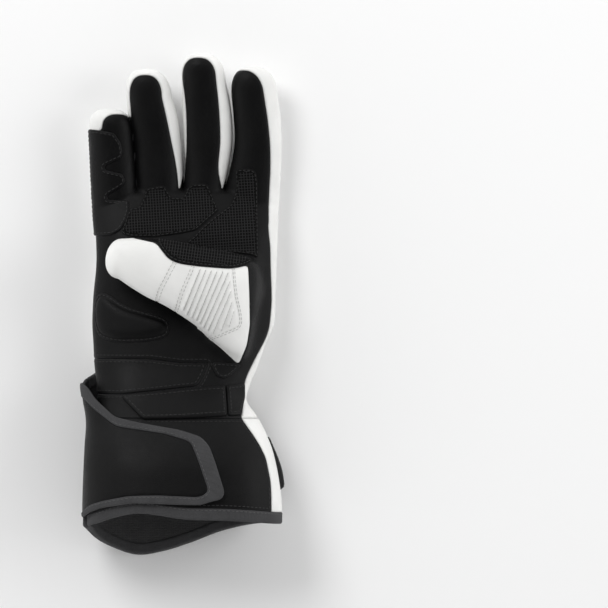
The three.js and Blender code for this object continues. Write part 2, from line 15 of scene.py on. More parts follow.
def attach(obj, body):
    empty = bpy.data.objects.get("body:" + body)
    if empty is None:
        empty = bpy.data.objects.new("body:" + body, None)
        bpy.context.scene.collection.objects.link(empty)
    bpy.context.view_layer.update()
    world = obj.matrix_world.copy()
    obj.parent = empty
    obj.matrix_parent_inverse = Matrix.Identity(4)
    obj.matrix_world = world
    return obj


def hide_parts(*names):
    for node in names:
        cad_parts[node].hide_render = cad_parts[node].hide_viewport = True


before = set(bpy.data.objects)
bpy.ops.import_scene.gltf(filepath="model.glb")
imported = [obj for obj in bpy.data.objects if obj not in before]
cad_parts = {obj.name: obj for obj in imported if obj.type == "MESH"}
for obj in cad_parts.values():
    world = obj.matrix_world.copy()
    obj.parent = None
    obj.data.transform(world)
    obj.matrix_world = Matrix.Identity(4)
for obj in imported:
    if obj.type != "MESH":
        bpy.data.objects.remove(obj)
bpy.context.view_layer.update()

# The form that the hand is sewn over
# A flattened palm that narrows to the wrist, four fingers and a thumb folded over the palm.
# It is made as one smooth skin, and every panel of the hand is cut from it.
MIDDLE = np.array([0.7, -0.38, 0.0])
METRES = 0.001
SEAM_LEVEL = 13.0
KNUCKLE_Y = 60.0
CURL_RISE = 12.0
CURL_REACH = 95.0
SLEEVE = [  # y, left, right, bottom, top: the hand and the inner layer of the cuff
    (-172, -59.5, 62, 2.3, 76.5),
    (-160, -59.5, 62, 2.3, 76),
    (-116, -59.2, 62, 2.3, 74),
    (-100, -58.7, 59.5, 2.3, 71),
    (-88, -58.2, 56.2, 2.3, 67),
    (-71, -57, 47.6, 2.3, 58.5),
    (-60, -53.2, 40.4, 2.3, 53),
    (-50, -53.3, 42.6, 2.3, 49.5),
    (-40, -54.5, 47, 2.3, 46),
    (-26, -55.5, 52, 0, 43.5),
    (-13, -56.3, 57.3, 0, 42),
    (3, -55.5, 58.3, 0, 41),
    (24, -53.8, 59, 0, 40.5),
    (44, -54.2, 59.8, 0, 38),
    (56, -55, 60.4, 0, 32.5),
    (66, -55.4, 61, 1, 27),
]
SLEEVE_FULLNESS = 2.6
REST_SINK = 1.0
KNUCKLE_END = [(68, 0.93), (70, 0.78), (71.5, 0.5)]  # y, and the share of the palm's depth left there
HAND_START = -92
FINGER_LEVEL = 13.5
FINGER_DEPTH = 24.0
FINGER_FULLNESS = 2.3
FINGER_START = 34.0
FINGER_GROWTH = 32.0
FINGER_LAP = 1.2
SPREAD_START, SPREAD_END = 66, 75
FORM_SIDES = 72
FINGERS = {  # y, left, right, then the edges of the black front
    "little": {
        "tip": (-45.3, 122.3), "black_tip": (-40, 119.2), "apart": -3.6,
        "rows": [(62, -55.4, -26.8, -70, -27.4), (87, -56.4, -28.1, -70, -28.4),
                 (110, -57.5, -30.3, -50, -30.6)],
    },
    "ring": {
        "tip": (-22.6, 147.2), "black_tip": (-23, 143.5), "apart": -1.2,
        "rows": [(62, -28.5, 0.5, -29, -1.4), (84, -29.9, 0.9, -31, -3), (106, -31.5, -0.7, -31.5, -7.3),
                 (118, -33.9, -2.4, -32.2, -9.8), (129, -34.8, -6, -33.1, -12.3)],
    },
    "middle": {
        "tip": (12.2, 157.2), "black_tip": (10, 154.5), "apart": 1.2,
        "rows": [(62, -1.8, 27, -1, 27), (73, 0.6, 27, -0.8, 25.2), (81, 1.8, 28.3, 1, 23.3),
                 (103, 1, 31.6, 2.4, 24.2), (127, 0, 30.1, 1.7, 23), (140, 0, 27.5, 0, 21.6)],
    },
    "index": {
        "tip": (44.2, 148.6), "black_tip": (38, 146.5), "apart": 3.6,
        "rows": [(62, 26, 61, 24, 54.5), (73, 27, 61.3, 26, 55), (82, 29.6, 61.6, 28.9, 55.4),
                 (103, 33, 62.4, 32.2, 55), (115, 32.5, 62, 31.7, 53.8), (131, 30.9, 59.8, 30.4, 51.4)],
    },
}
TIP_FULLNESS = 2.5
THUMB = [  # the upper edge's x and y, the lower edge's, the level of the middle, and the depth
    (52, 14, 44, -30, 26, 28),
    (47, 27, 38, -37, 36, 32),
    (34, 30.5, 24, -27, 44, 33),
    (18, 34, 9, -13.5, 50.4, 30),
    (2, 37, -9, -1.5, 55.6, 26.4),
    (-12, 39.3, -22, 4.7, 56, 25.2),
    (-24, 41, -32, 10.7, 55.3, 24),
    (-36.4, 40.7, -39.6, 16, 54, 21.8),
]
THUMB_TIP = (-47.2, 29.2, 52.5)  # x, y and level
THUMB_TIP_FULLNESS = 2.1
THUMB_FULLNESS = 2.2
FORM_VOXEL = 1.15
THUMB_BEND = 5.0
HAND_SOFTNESS = 0.35
HAND_WAVES = 0.035


def eased(share):
    """A share from 0 to 1 that starts and ends softly."""
    share = np.clip(share, 0, 1)
    return share * share * (3 - 2 * share)


def between_rows(rows, places):
    """The columns of a table at any places along it, smooth through its rows."""
    rows = np.asarray(rows, float)
    along, values = rows[:, 0], rows[:, 1:]
    slopes = np.gradient(values, along, axis=0)
    places = np.clip(places, along[0], along[-1])
    i = np.clip(np.searchsorted(along, places) - 1, 0, len(along) - 2)
    step = (along[i + 1] - along[i])[:, None]
    t = (places - along[i])[:, None] / step
    rise = eased(t)
    return (values[i] * (1 - rise) + values[i + 1] * rise
            + slopes[i] * step * t * (1 - t) ** 2 - slopes[i + 1] * step * t * t * (1 - t))


def rounded_section(middle, across, width, depth, fullness, sides, rest=-50.0):
    """One ring of points round the hand: an oval with full corners, flat where it rests."""
    turn = np.linspace(0, 2 * math.pi, sides, endpoint=False)
    side = np.sign(np.cos(turn)) * np.abs(np.cos(turn)) ** (2 / fullness)
    rise = np.sign(np.sin(turn)) * np.abs(np.sin(turn)) ** (2 / fullness)
    flat = middle[:2] + np.outer(side * width / 2, across)
    return np.column_stack([flat, np.maximum(middle[2] + rise * depth / 2, rest)])


def sleeve_sections(rows, places, grow, sides):
    rings = []
    for y, (left, right, bottom, top) in zip(places, between_rows(rows, places)):
        middle = np.array([(left + right) / 2, y, (bottom - REST_SINK + top) / 2])
        width = right - left + 2 * grow
        depth = top - bottom + REST_SINK + 2 * grow
        rings.append(rounded_section(middle, (1, 0), width, depth, SLEEVE_FULLNESS, sides, bottom - grow))
    return rings


def skin_over(rings, capped):
    """Points and triangles over a stack of rings, facing out."""
    rings = np.asarray(rings)
    count, sides = rings.shape[:2]
    row = np.arange(count - 1)[:, None] * sides
    around = np.arange(sides)[None, :]
    a = (row + around).ravel()
    b = (row + (around + 1) % sides).ravel()
    faces = np.concatenate([np.column_stack([a, a + sides, b + sides]), np.column_stack([a, b + sides, b])])
    points = rings.reshape(-1, 3)
    if capped:
        first, last = len(points), len(points) + 1
        points = np.vstack([points, rings[0].mean(0), rings[-1].mean(0)])
        a, b = np.arange(sides), (np.arange(sides) + 1) % sides
        top = (count - 1) * sides
        faces = np.concatenate([faces, np.column_stack([np.full(sides, first), a, b]),
                                np.column_stack([np.full(sides, last), top + b, top + a])])
        corners = points[faces]
        if np.einsum("ij,ij->i", corners[:, 0], np.cross(corners[:, 1], corners[:, 2])).sum() < 0:
            faces = faces[:, ::-1]
    return points, faces


def tip_shares(fullness, count=14):
    """Places along a rounded tip, close together at its end, and how wide it is there."""
    share = np.sin(np.linspace(0, math.pi / 2, count + 1)[1:-1])
    return list(zip(share, (1 - share ** fullness) ** (1 / fullness)))


def spread(y):
    """The fingers are made a little apart, so that they don't grow together, and are closed up again."""
    return eased((np.asarray(y, float) - SPREAD_START) / (SPREAD_END - SPREAD_START))


def finger_form(finger):
    rows, tip = finger["rows"], finger["tip"]
    last = rows[-1][0]
    places = np.arange(FINGER_START, last, 2.0)
    edges = between_rows(rows, np.append(places, last))
    sections = []
    for y, (left, right) in zip(np.append(places, last), edges[:, :2]):
        sections.append((y, left, right, 0.5 + 0.5 * eased((y - FINGER_START) / FINGER_GROWTH)))
    left, right = edges[-1, :2]
    for share, width in tip_shares(TIP_FULLNESS):
        drift = (tip[0] - (left + right) / 2) * share
        sections.append((last + (tip[1] - last) * share, left + drift, right + drift, width))
    rings = []
    for y, left, right, scale in sections:
        middle = np.array([(left + right) / 2 + finger["apart"] * spread(y), y, FINGER_LEVEL])
        width = (right - left) * scale
        rings.append(rounded_section(middle, (1, 0), width, FINGER_DEPTH * scale, FINGER_FULLNESS,
                                     FORM_SIDES))
    return skin_over(rings, True)


def thumb_form():
    stops = np.column_stack([np.arange(len(THUMB)), np.array(THUMB, float)])
    rows = between_rows(stops, np.arange(0, len(THUMB) - 1 + 0.01, 0.1))
    sections = [(row[:2], row[2:4], row[4], row[5], 1.0) for row in rows]
    upper, lower, level, depth, _ = sections[-1]
    end = np.array(THUMB_TIP[:2]) - (upper + lower) / 2
    for share, scale in tip_shares(THUMB_TIP_FULLNESS):
        sections.append((upper + end * share, lower + end * share, level + (THUMB_TIP[2] - level) * share,
                         depth, scale))
    rings = []
    for upper, lower, level, depth, scale in sections:
        width = np.linalg.norm(upper - lower)
        middle = np.append((upper + lower) / 2, level)
        rings.append(rounded_section(middle, (upper - lower) / width, width * scale, depth * scale,
                                     THUMB_FULLNESS, FORM_SIDES))
    return skin_over(rings, True)


def palm_form():
    places = np.append(np.arange(HAND_START, 66, 2.0), 66.0)
    rings = sleeve_sections(SLEEVE, places, 0, 120)
    for y, share in KNUCKLE_END:
        ring = rings[len(places) - 1].copy()
        ring[:, 1] = y
        ring[:, 2] = FINGER_LEVEL + (ring[:, 2] - FINGER_LEVEL) * share
        rings.append(ring)
    return skin_over(rings, True)


def plain_mesh(name, points, faces):
    """A Blender mesh from arrays of points and of triangles."""
    mesh = bpy.data.meshes.new(name)
    mesh.vertices.add(len(points))
    mesh.vertices.foreach_set("co", np.asarray(points, np.float32).ravel())
    mesh.loops.add(3 * len(faces))
    mesh.loops.foreach_set("vertex_index", np.asarray(faces, np.int32).ravel())
    mesh.polygons.add(len(faces))
    mesh.polygons.foreach_set("loop_start", np.arange(0, 3 * len(faces), 3, dtype=np.int32))
    mesh.update(calc_edges=True)
    return mesh


def grown_together(forms):
    """One closed skin round all the forms, in faces of one size."""
    offsets = np.cumsum([0] + [len(points) for points, _ in forms])
    points = np.vstack([points for points, _ in forms])
    faces = np.vstack([faces + start for (_, faces), start in zip(forms, offsets)])
    body = bpy.data.objects.new("hand_form", plain_mesh("hand_form", points, faces))
    bpy.context.scene.collection.objects.link(body)
    remesh = body.modifiers.new("Remesh", "REMESH")
    remesh.mode = "VOXEL"
    remesh.voxel_size = FORM_VOXEL
    mesh = bpy.data.meshes.new_from_object(body.evaluated_get(bpy.context.evaluated_depsgraph_get()))
    mesh.calc_loop_triangles()
    points = np.empty(3 * len(mesh.vertices), np.float32)
    mesh.vertices.foreach_get("co", points)
    faces = np.empty(3 * len(mesh.loop_triangles), np.int32)
    mesh.loop_triangles.foreach_get("vertices", faces)
    bpy.data.objects.remove(body)
    bpy.data.meshes.remove(mesh)
    return points.reshape(-1, 3).astype(float), faces.reshape(-1, 3).astype(np.int64)


def neighbour_pairs(faces):
    pairs = np.sort(np.concatenate([faces[:, [0, 1]], faces[:, [1, 2]], faces[:, [2, 0]]]), axis=1)
    return np.unique(pairs, axis=0)


def relaxed(points, pairs, rounds, share):
    """Every point moves a share of the way to the middle of its neighbours, a number of times."""
    count = len(points)
    a, b = pairs.T
    neighbours = np.bincount(a, minlength=count) + np.bincount(b, minlength=count)
    for i in range(rounds):
        middle = np.empty_like(points)
        for k in range(3):
            gathered = np.bincount(a, points[b, k], count) + np.bincount(b, points[a, k], count)
            middle[:, k] = gathered / neighbours
        points = points + (middle - points) * (share if np.ndim(share) == 0 else share[:, None])
    return points


def smoothed(points, pairs, rounds):
    """Steps of the grid are evened out without shrinking what is round."""
    for i in range(rounds):
        points = relaxed(points, pairs, 1, 0.5)
        points = relaxed(points, pairs, 1, -0.52)
    return points


def outward(points, faces):
    """The direction that each point of a skin faces."""
    corners = points[faces]
    turned = np.cross(corners[:, 1] - corners[:, 0], corners[:, 2] - corners[:, 0])
    normals = np.empty_like(points)
    for k in range(3):
        normals[:, k] = sum(np.bincount(faces[:, i], turned[:, k], len(points)) for i in range(3))
    return normals / np.maximum(np.linalg.norm(normals, axis=1, keepdims=True), 1e-12)


def distances(points, form):
    tree = BVHTree.FromPolygons(form[0].tolist(), form[1].tolist())
    return np.array([tree.find_nearest(point)[3] for point in points.tolist()])


def closed_up(points):
    """The fingers go back from where they were spread to."""
    x, y = points[:, 0], points[:, 1]
    fingers = list(FINGERS.values())
    shift = np.full(len(points), fingers[0]["apart"])
    for one, other in zip(fingers, fingers[1:]):
        left = between_rows(other["rows"], y)[:, 0]
        right = np.minimum(between_rows(one["rows"], y)[:, 1], left + FINGER_LAP)
        left = left + other["apart"] * spread(y)
        right = right + one["apart"] * spread(y)
        low, high = np.minimum(left, right), np.maximum(left, right)
        passed = np.clip((x - low) / np.maximum(high - low, 0.5), 0, 1)
        shift += (other["apart"] - one["apart"]) * passed
    closed = points.copy()
    closed[:, 0] -= shift * spread(y)
    return closed


def curl(y):
    """Forward of the knuckles the glove is curled up."""
    return CURL_RISE * (np.maximum(y - KNUCKLE_Y, 0) / CURL_REACH) ** 2


def hand_skin():
    thumb = thumb_form()
    rest = [palm_form()] + [finger_form(finger) for finger in FINGERS.values()]
    points, faces = grown_together([thumb] + rest)
    pairs = neighbour_pairs(faces)
    points = smoothed(points, pairs, 10)
    to_thumb = distances(points, thumb)
    to_palm = distances(points, rest[0])
    # How much nearer a point is to the thumb than to the palm
    thumbness = np.where(points[:, 1] > KNUCKLE_Y, -9.0, to_palm - to_thumb)
    # The leather runs from the palm on to the thumb in a soft bend
    bend = np.exp(-(thumbness / THUMB_BEND) ** 2) * np.clip((points[:, 0] + 4) / 16, 0, 1) * (points[:, 2] > 24)
    points = relaxed(points, pairs, 40, 0.5 * bend)
    points[:, 2] = np.maximum(points[:, 2], 0)
    points = closed_up(points)
    x, y, z = points.T
    left, right, bottom, top = between_rows(SLEEVE, y).T
    under = (z < (bottom - REST_SINK + top) / 2) & (x > 30) & (y < KNUCKLE_Y)
    skin = {
        "flat": np.column_stack([np.where(under, 2 * right - x, x), y]),
        "way": np.where(under, -1.0, 1.0),
        "level": z.copy(),
        "thumbness": thumbness,
        "held": np.zeros(len(points)),
    }
    points[:, 2] += curl(y)
    waves = np.array([noise.noise(Vector(point) * HAND_WAVES) for point in points.tolist()])
    normals = outward(points, faces)
    points += normals * (waves * HAND_SOFTNESS * np.clip((z - 2) / 6, 0, 1))[:, None]
    skin.update(points=points, normals=outward(points, faces), faces=faces)
    return skin


hand = hand_skin()

# The white leather of the back
# One soft white skin makes the back of the hand, the fingers' backs, side walls and tips. Its edges are
# turned in and sewn to the black leather along the side seam and round the fronts of the fingers.
FAR = 14.0
SEAM_GAP = 0.06
LEATHER = 2.0
TURNED_EDGE = 1.5
ROLL_STEPS = (0.06, 0.22, 0.5, 1.0)
WHITE = (0.8, 0.8, 0.785)
BLACK = (0.003, 0.003, 0.0032)


def rounded(points, radius, closed=True, steps=5):
    """An outline with its corners rounded off."""
    points = [np.array(point, float) for point in points]
    line = []
    for i, corner in enumerate(points):
        if not closed and i in (0, len(points) - 1):
            line.append(corner)
            continue
        back, on = points[i - 1] - corner, points[(i + 1) % len(points)] - corner
        start = corner + back * min(0.5, radius / np.linalg.norm(back))
        end = corner + on * min(0.5, radius / np.linalg.norm(on))
        for t in np.linspace(0, 1, steps):
            line.append((1 - t) ** 2 * start + 2 * t * (1 - t) * corner + t * t * end)
    return np.array(line)


def within(skin, outline):
    """How far each point is inside an outline, measured along the leather."""
    starts = np.asarray(outline, float)
    ends = np.roll(starts, -1, axis=0)
    flat = skin["flat"]
    near = np.all((flat > starts.min(0) - FAR) & (flat < ends.max(0) + FAR), axis=1)
    x, y = flat[near].T
    closest = np.full(len(x), 1e9)
    gap = np.zeros((len(x), 2))
    inside = np.zeros(len(x), bool)
    for (ax, ay), (bx, by) in zip(starts, ends):
        dx, dy = bx - ax, by - ay
        share = np.clip(((x - ax) * dx + (y - ay) * dy) / max(dx * dx + dy * dy, 1e-12), 0, 1)
        gx, gy = x - ax - share * dx, y - ay - share * dy
        square = gx * gx + gy * gy
        closer = square < closest
        closest[closer] = square[closer]
        gap[closer] = np.column_stack([gx, gy])[closer]
        if dy != 0:
            inside ^= ((ay > y) != (by > y)) & (x < dx * (y - ay) / dy + ax)
    distance = np.sqrt(closest)
    normals = skin["normals"][near]
    facing = gap[:, 0] * skin["way"][near] * normals[:, 0] + gap[:, 1] * normals[:, 1]
    facing = facing / np.maximum(distance, 1e-9)
    value = np.full(len(flat), -FAR)
    value[near] = np.where(inside, 1, -1) * distance / np.sqrt(np.clip(1 - facing ** 2, 0.12, 1))
    return value


def ahead_of(skin, line):
    """How far each point lies forward of a line across the glove, measured along the leather."""
    line = np.asarray(line, float)
    x, y = skin["flat"].T
    slope = np.interp(x, line[:, 0], np.gradient(line[:, 1], line[:, 0]))
    reach = 1 + slope ** 2 * (1 - skin["normals"][:, 0] ** 2)
    return (y - np.interp(x, line[:, 0], line[:, 1])) / np.sqrt(reach)


def above(skin, level):
    """How far each point lies above a level, measured along the leather."""
    flatness = np.sqrt(np.clip(1 - skin["normals"][:, 2] ** 2, 0.1, 1))
    return (skin["level"] - level) / flatness


def crossed_sides(values, faces):
    """Where a value passes zero: the faces that it crosses, the pairs of points on both sides of it, how far
    along each pair it lies, the pair of each side of those faces, and whether that side is crossed."""
    corner = values[faces]
    chosen = (corner.min(1) < 0) & (corner.max(1) > 0)
    crossing = faces[chosen]
    pairs = neighbour_pairs(crossing)
    pairs = pairs[values[pairs[:, 0]] * values[pairs[:, 1]] < 0]
    share = values[pairs[:, 0]] / (values[pairs[:, 0]] - values[pairs[:, 1]])
    keys = pairs[:, 0] * len(values) + pairs[:, 1]
    sides = np.stack([crossing, np.roll(crossing, -1, axis=1)], -1)
    side_keys = sides.min(-1) * len(values) + sides.max(-1)
    place = np.clip(np.searchsorted(keys, side_keys), 0, len(keys) - 1)
    return chosen, pairs, share, place, keys[place] == side_keys


def part_way(values, pairs, share):
    """Values at a share of the way from the first points of pairs to the second."""
    share = share if values.ndim == 1 else share[:, None]
    return values[pairs[:, 0]] * (1 - share) + values[pairs[:, 1]] * share


def cut_line(skin, name, level):
    """A skin's faces are divided where one of its values crosses a level."""
    skin = dict(skin)
    faces = skin["faces"]
    _, pairs, share, _, _ = crossed_sides(skin[name] - level, faces)
    # Points that are already near the line slide on to it
    pairs = np.concatenate([pairs, pairs[:, ::-1]])
    share = np.concatenate([share, 1 - share])
    near = (share < 0.25) & (skin["held"][pairs[:, 0]] < 0.5)
    pairs, share = pairs[near], share[near]
    order = np.argsort(-share)
    pairs, share = pairs[order], share[order]
    for key, value in skin.items():
        if key not in ("faces", "held"):
            skin[key] = value.copy()
            skin[key][pairs[:, 0]] = part_way(value, pairs, share)
    skin[name][pairs[:, 0]] = level
    skin["held"] = skin["held"].copy()
    skin["held"][pairs[:, 0]] = 1
    values = skin[name] - level
    values[np.abs(values) < 1e-9] = 0
    chosen, pairs, share, place, crossed = crossed_sides(values, faces)
    if not chosen.any():
        return skin
    for key, value in skin.items():
        if key != "faces":
            skin[key] = np.concatenate([value, part_way(value, pairs, share)])
    skin[name][len(values):] = level
    skin["held"][len(values):] = 1
    crossing, middle = faces[chosen], place + len(values)

    def turned(rows, start):
        index = (start[:, None] + np.arange(3)) % 3
        return np.take_along_axis(crossing[rows], index, 1), np.take_along_axis(middle[rows], index, 1)

    single = crossed.sum(1) == 1
    corners, middles = turned(single, np.argmax(crossed[single], axis=1))
    halves = [np.column_stack([corners[:, 0], middles[:, 0], corners[:, 2]]),
              np.column_stack([middles[:, 0], corners[:, 1], corners[:, 2]])]
    corners, middles = turned(~single, (np.argmin(crossed[~single], axis=1) + 2) % 3)
    halves += [np.column_stack([corners[:, 0], middles[:, 0], middles[:, 2]]),
               np.column_stack([middles[:, 0], corners[:, 1], corners[:, 2]]),
               np.column_stack([middles[:, 0], corners[:, 2], middles[:, 2]])]
    skin["faces"] = np.concatenate([faces[~chosen]] + halves)
    return skin


def panel(skin, edge, smallest=400):
    """The part of a skin where a value is positive, which there is the distance from the panel's edge.
    Scraps of fewer faces than the smallest count are left off."""
    skin = dict(skin, edge=edge)
    skin = cut_line(skin, "edge", SEAM_GAP)
    faces = skin["faces"]
    faces = faces[skin["edge"][faces].mean(1) > SEAM_GAP]
    used, faces = np.unique(faces, return_inverse=True)
    faces = faces.reshape(-1, 3)
    label = np.arange(len(used))
    pairs = neighbour_pairs(faces)
    while True:
        lowest = label.copy()
        np.minimum.at(lowest, pairs[:, 0], label[pairs[:, 1]])
        np.minimum.at(lowest, pairs[:, 1], label[pairs[:, 0]])
        lowest = lowest[lowest]
        if np.array_equal(lowest, label):
            break
        label = lowest
    sizes = np.bincount(label[faces[:, 0]], minlength=len(used))
    faces = faces[sizes[label[faces[:, 0]]] >= smallest]
    again, faces = np.unique(faces, return_inverse=True)
    cut = {key: value[used[again]] for key, value in skin.items() if key != "faces"}
    cut["faces"] = faces.reshape(-1, 3)
    return cut


def rolled(edge, width):
    """The quarter-round of a turned edge: 0 at the edge and 1 from its width inward."""
    share = np.clip(edge / width, 0, 1)
    return np.sqrt(1 - (1 - share) ** 2)


def sewn(name, nodes, skin, top, bottom, finishes, fall=0.55, roll=TURNED_EDGE, fall_inside=0.0,
         relief=None):
    """A closed piece from a panel: a face that rolls down along its edges, the cut edges and an inner face.
    The two faces lie at two levels over the skin and have a finish each. The outer face is given back."""
    for share in ROLL_STEPS:
        skin = cut_line(skin, "edge", SEAM_GAP + roll * share)
    crown = rolled(skin["edge"] - SEAM_GAP, roll)
    if "fall" in skin:
        fall, fall_inside = skin["fall"] * fall, skin["fall"] * fall_inside
    height = top - fall * (1 - crown)
    if relief is not None:
        height = height + relief(skin) * crown
    depth = bottom + fall_inside * (1 - crown)
    outer = skin["points"] + skin["normals"] * height[:, None]
    inner = skin["points"] + skin["normals"] * depth[:, None]
    # The leather is pressed flat where the glove rests
    outer[:, 2] = np.maximum(outer[:, 2], 0.0)
    faces = skin["faces"]
    count = len(outer)
    sides = np.concatenate([faces[:, [0, 1]], faces[:, [1, 2]], faces[:, [2, 0]]])
    keys = sides.min(1) * count + sides.max(1)
    _, first, uses = np.unique(keys, return_index=True, return_counts=True)
    a, b = sides[first[uses == 1]].T
    walls = np.concatenate([np.column_stack([b, a, a + count]), np.column_stack([b, a + count, b + count])])
    points = (np.vstack([outer, inner]) - MIDDLE) * METRES
    everything = np.concatenate([faces, walls, faces[:, ::-1] + count])
    mesh = plain_mesh(name, points, everything)
    mesh.polygons.foreach_set("use_smooth", np.ones(len(everything), bool))
    lined = np.zeros(len(everything), np.int32)
    lined[len(faces) + len(walls):] = 1
    mesh.polygons.foreach_set("material_index", lined)
    seam = mesh.attributes.new("seam", "FLOAT", "POINT")
    seam.data.foreach_set("value", np.tile(skin["edge"], 2).astype(np.float32))
    for finish in finishes:
        mesh.materials.append(finish)
    piece = bpy.data.objects.new(name, mesh)
    bpy.context.scene.collection.objects.link(piece)
    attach(piece, "root")
    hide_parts(*nodes)
    return dict(skin, points=outer)


def node_group(name, kind, inputs, outputs):
    """A group of nodes with named inputs and outputs, and the sockets that its inputs come from."""
    tree = bpy.data.node_groups.new(name, kind)
    for label, socket, *value in inputs:
        made = tree.interface.new_socket(label, in_out="INPUT", socket_type="NodeSocket" + socket)
        if value:
            made.default_value = value[0]
    for label, socket in outputs:
        tree.interface.new_socket(label, in_out="OUTPUT", socket_type="NodeSocket" + socket)
    return tree, tree.nodes.new("NodeGroupInput").outputs


def node(tree, kind, inputs=(), **settings):
    """A node with its settings, and its inputs linked or set."""
    made = tree.nodes.new(kind)
    for key, value in settings.items():
        setattr(made, key, value)
    for key, value in dict(inputs).items():
        if isinstance(value, bpy.types.NodeSocket):
            tree.links.new(value, made.inputs[key])
        else:
            made.inputs[key].default_value = value
    return made


def maths(tree, operation, *values):
    return node(tree, "ShaderNodeMath", dict(enumerate(values)), operation=operation).outputs[0]


def ranged(tree, value, start, end, low, high):
    """A value brought from one range to another."""
    return node(tree, "ShaderNodeMapRange", {"Value": value, "From Min": start, "From Max": end,
                                             "To Min": low, "To Max": high}).outputs[0]


def mixed(tree, share, one, other):
    """The colour at a share of the way from one colour to another."""
    one, other = [tone if isinstance(tone, bpy.types.NodeSocket) else (*tone, 1) for tone in (one, other)]
    return node(tree, "ShaderNodeMix", {0: share, 6: one, 7: other}, data_type="RGBA").outputs[2]


def leather_grain():
    """Fine creased grain, a slow mottle, and a ragged band beside each seam where the leather's colour changes:
    painted shade on white leather, wear on black.
    """
    tree, given = node_group("leather grain", "ShaderNodeTree", [
        ("Vector", "Vector"), ("Seam", "Float", 9.0), ("Grain size", "Float", 0.0009),
        ("Worn width", "Float", 1.2),
    ], [("Height", "Float"), ("Mottle", "Float"), ("Wear and shade", "Float")])
    place = given["Vector"]
    cells = node(tree, "ShaderNodeTexVoronoi", {
        "Vector": place, "Scale": maths(tree, "DIVIDE", 1.0, given["Grain size"])}, feature="DISTANCE_TO_EDGE")
    pores = node(tree, "ShaderNodeTexNoise", {"Vector": place, "Scale": 2600.0, "Detail": 2.0})
    crease = ranged(tree, cells.outputs["Distance"], 0.0, 0.14, 0.0, 0.8)
    height = maths(tree, "MULTIPLY_ADD", pores.outputs["Fac"], 0.35, crease)
    slow = node(tree, "ShaderNodeTexNoise", {"Vector": place, "Scale": 55.0, "Detail": 3.0})
    uneven = node(tree, "ShaderNodeTexNoise", {"Vector": place, "Scale": 420.0, "Detail": 2.0})
    ragged = maths(tree, "MULTIPLY_ADD", uneven.outputs["Fac"], 1.2, -0.6)
    off = maths(tree, "ADD", given["Seam"], ragged)
    wear_and_shade = ranged(tree, off, 0.0, given["Worn width"], 1.0, 0.0)
    node(tree, "NodeGroupOutput", {"Height": height, "Mottle": slow.outputs["Fac"], "Wear and shade": wear_and_shade})
    return tree


GRAIN = leather_grain()


def new_finish(name):
    """A material with its tree, the place on the piece that its pattern reads, and its shader."""
    material = bpy.data.materials.new(name)
    material.use_nodes = True
    tree = material.node_tree
    place = node(tree, "ShaderNodeTexCoord").outputs["Object"]
    return material, tree, place, tree.nodes["Principled BSDF"]


def leather(name, colour, wear_and_shade_colour, roughness, grain_depth, wear_and_shade_share=1.0, sheen=0.3):
    """Leather whose tone and gloss drift a little, with a fine grain and a changed colour along its seams:
    painted shade where it darkens the white leather, wear where it lightens the black.
    """
    material, tree, place, surface = new_finish(name)
    seam = node(tree, "ShaderNodeAttribute", attribute_name="seam").outputs["Fac"]
    grain = node(tree, "ShaderNodeGroup", node_tree=GRAIN)
    tree.links.new(place, grain.inputs["Vector"])
    tree.links.new(seam, grain.inputs["Seam"])
    mottle = grain.outputs["Mottle"]
    # Beside the seams the colour turns to the seam colour: painted shade on white leather, wear on black
    # leather and grip cloth.
    wear_and_shade = maths(tree, "MULTIPLY", grain.outputs["Wear and shade"], wear_and_shade_share)
    tone = mixed(tree, mottle, [0.82 * part for part in colour], colour)
    gloss = ranged(tree, mottle, 0.3, 0.7, roughness - 0.05, roughness + 0.07)
    bump = node(tree, "ShaderNodeBump", {"Height": grain.outputs["Height"], "Distance": grain_depth,
                                         "Strength": 0.6})
    tree.links.new(mixed(tree, wear_and_shade, tone, wear_and_shade_colour), surface.inputs["Base Color"])
    tree.links.new(gloss, surface.inputs["Roughness"])
    tree.links.new(bump.outputs[0], surface.inputs["Normal"])
    surface.inputs["Specular IOR Level"].default_value = sheen
    return material


PALM_RIGHT = [
    (54.8, 74), (54.5, 66), (54.2, 46), (55.5, 37), (55.8, 24), (56.7, 2.6), (55.2, -15), (52.7, -22.5),
    (45.1, -36.2), (39.5, -47.5), (38.5, -60), (37.5, -71), (37.5, -80),
]
DEEP_SEAM = 10.0
DEEP_X, DEEP_WIDTH = -29.4, 2.4
DEEP_START, DEEP_END = 66, 112
DEEP_FADE = 8
KNUCKLE_LINE = [(-70, 66), (-28.5, 66), (-25, 72.5), (50, 72.5)]
THUMB_WHITE = [
    (-54, 27), (-52, 37), (-44, 45), (-37, 43.5), (-33, 41.9), (-25, 40.2), (-15.6, 38.2), (-12.2, 33.5),
    (-7.5, 27.8), (-1, 25.2), (11.5, 23.6), (30, 22.2), (36, 23), (41.6, 24.6), (42.5, 6), (43, -13),
    (41, -25.5), (35.6, -38), (24, -27.2), (15.3, -20.6), (13, -17.6), (7, -13.8), (-2, -11), (-13.5, -6),
    (-32.5, 3), (-50, 10),
]
THUMB_SEAM = [(-60, 50), (-42, 52), (-32, 53.5), (-12, 54.5), (-2, 53), (4, 48), (10, 43), (18, 37), (30, 28),
              (60, 24)]
WRIST_SEAM = -71.0
THUMB_FREE = [(-64, 64), (-64, -12), (-12, -12), (4.5, 45), (4.5, 64)]
WRIST_PANEL = [
    (-70, -33.8), (-20, -34), (-1, -36.5), (17, -36.5), (13.5, -45), (10, -51), (-13.5, -53.5), (-37.5, -56),
    (-70, -56),
]


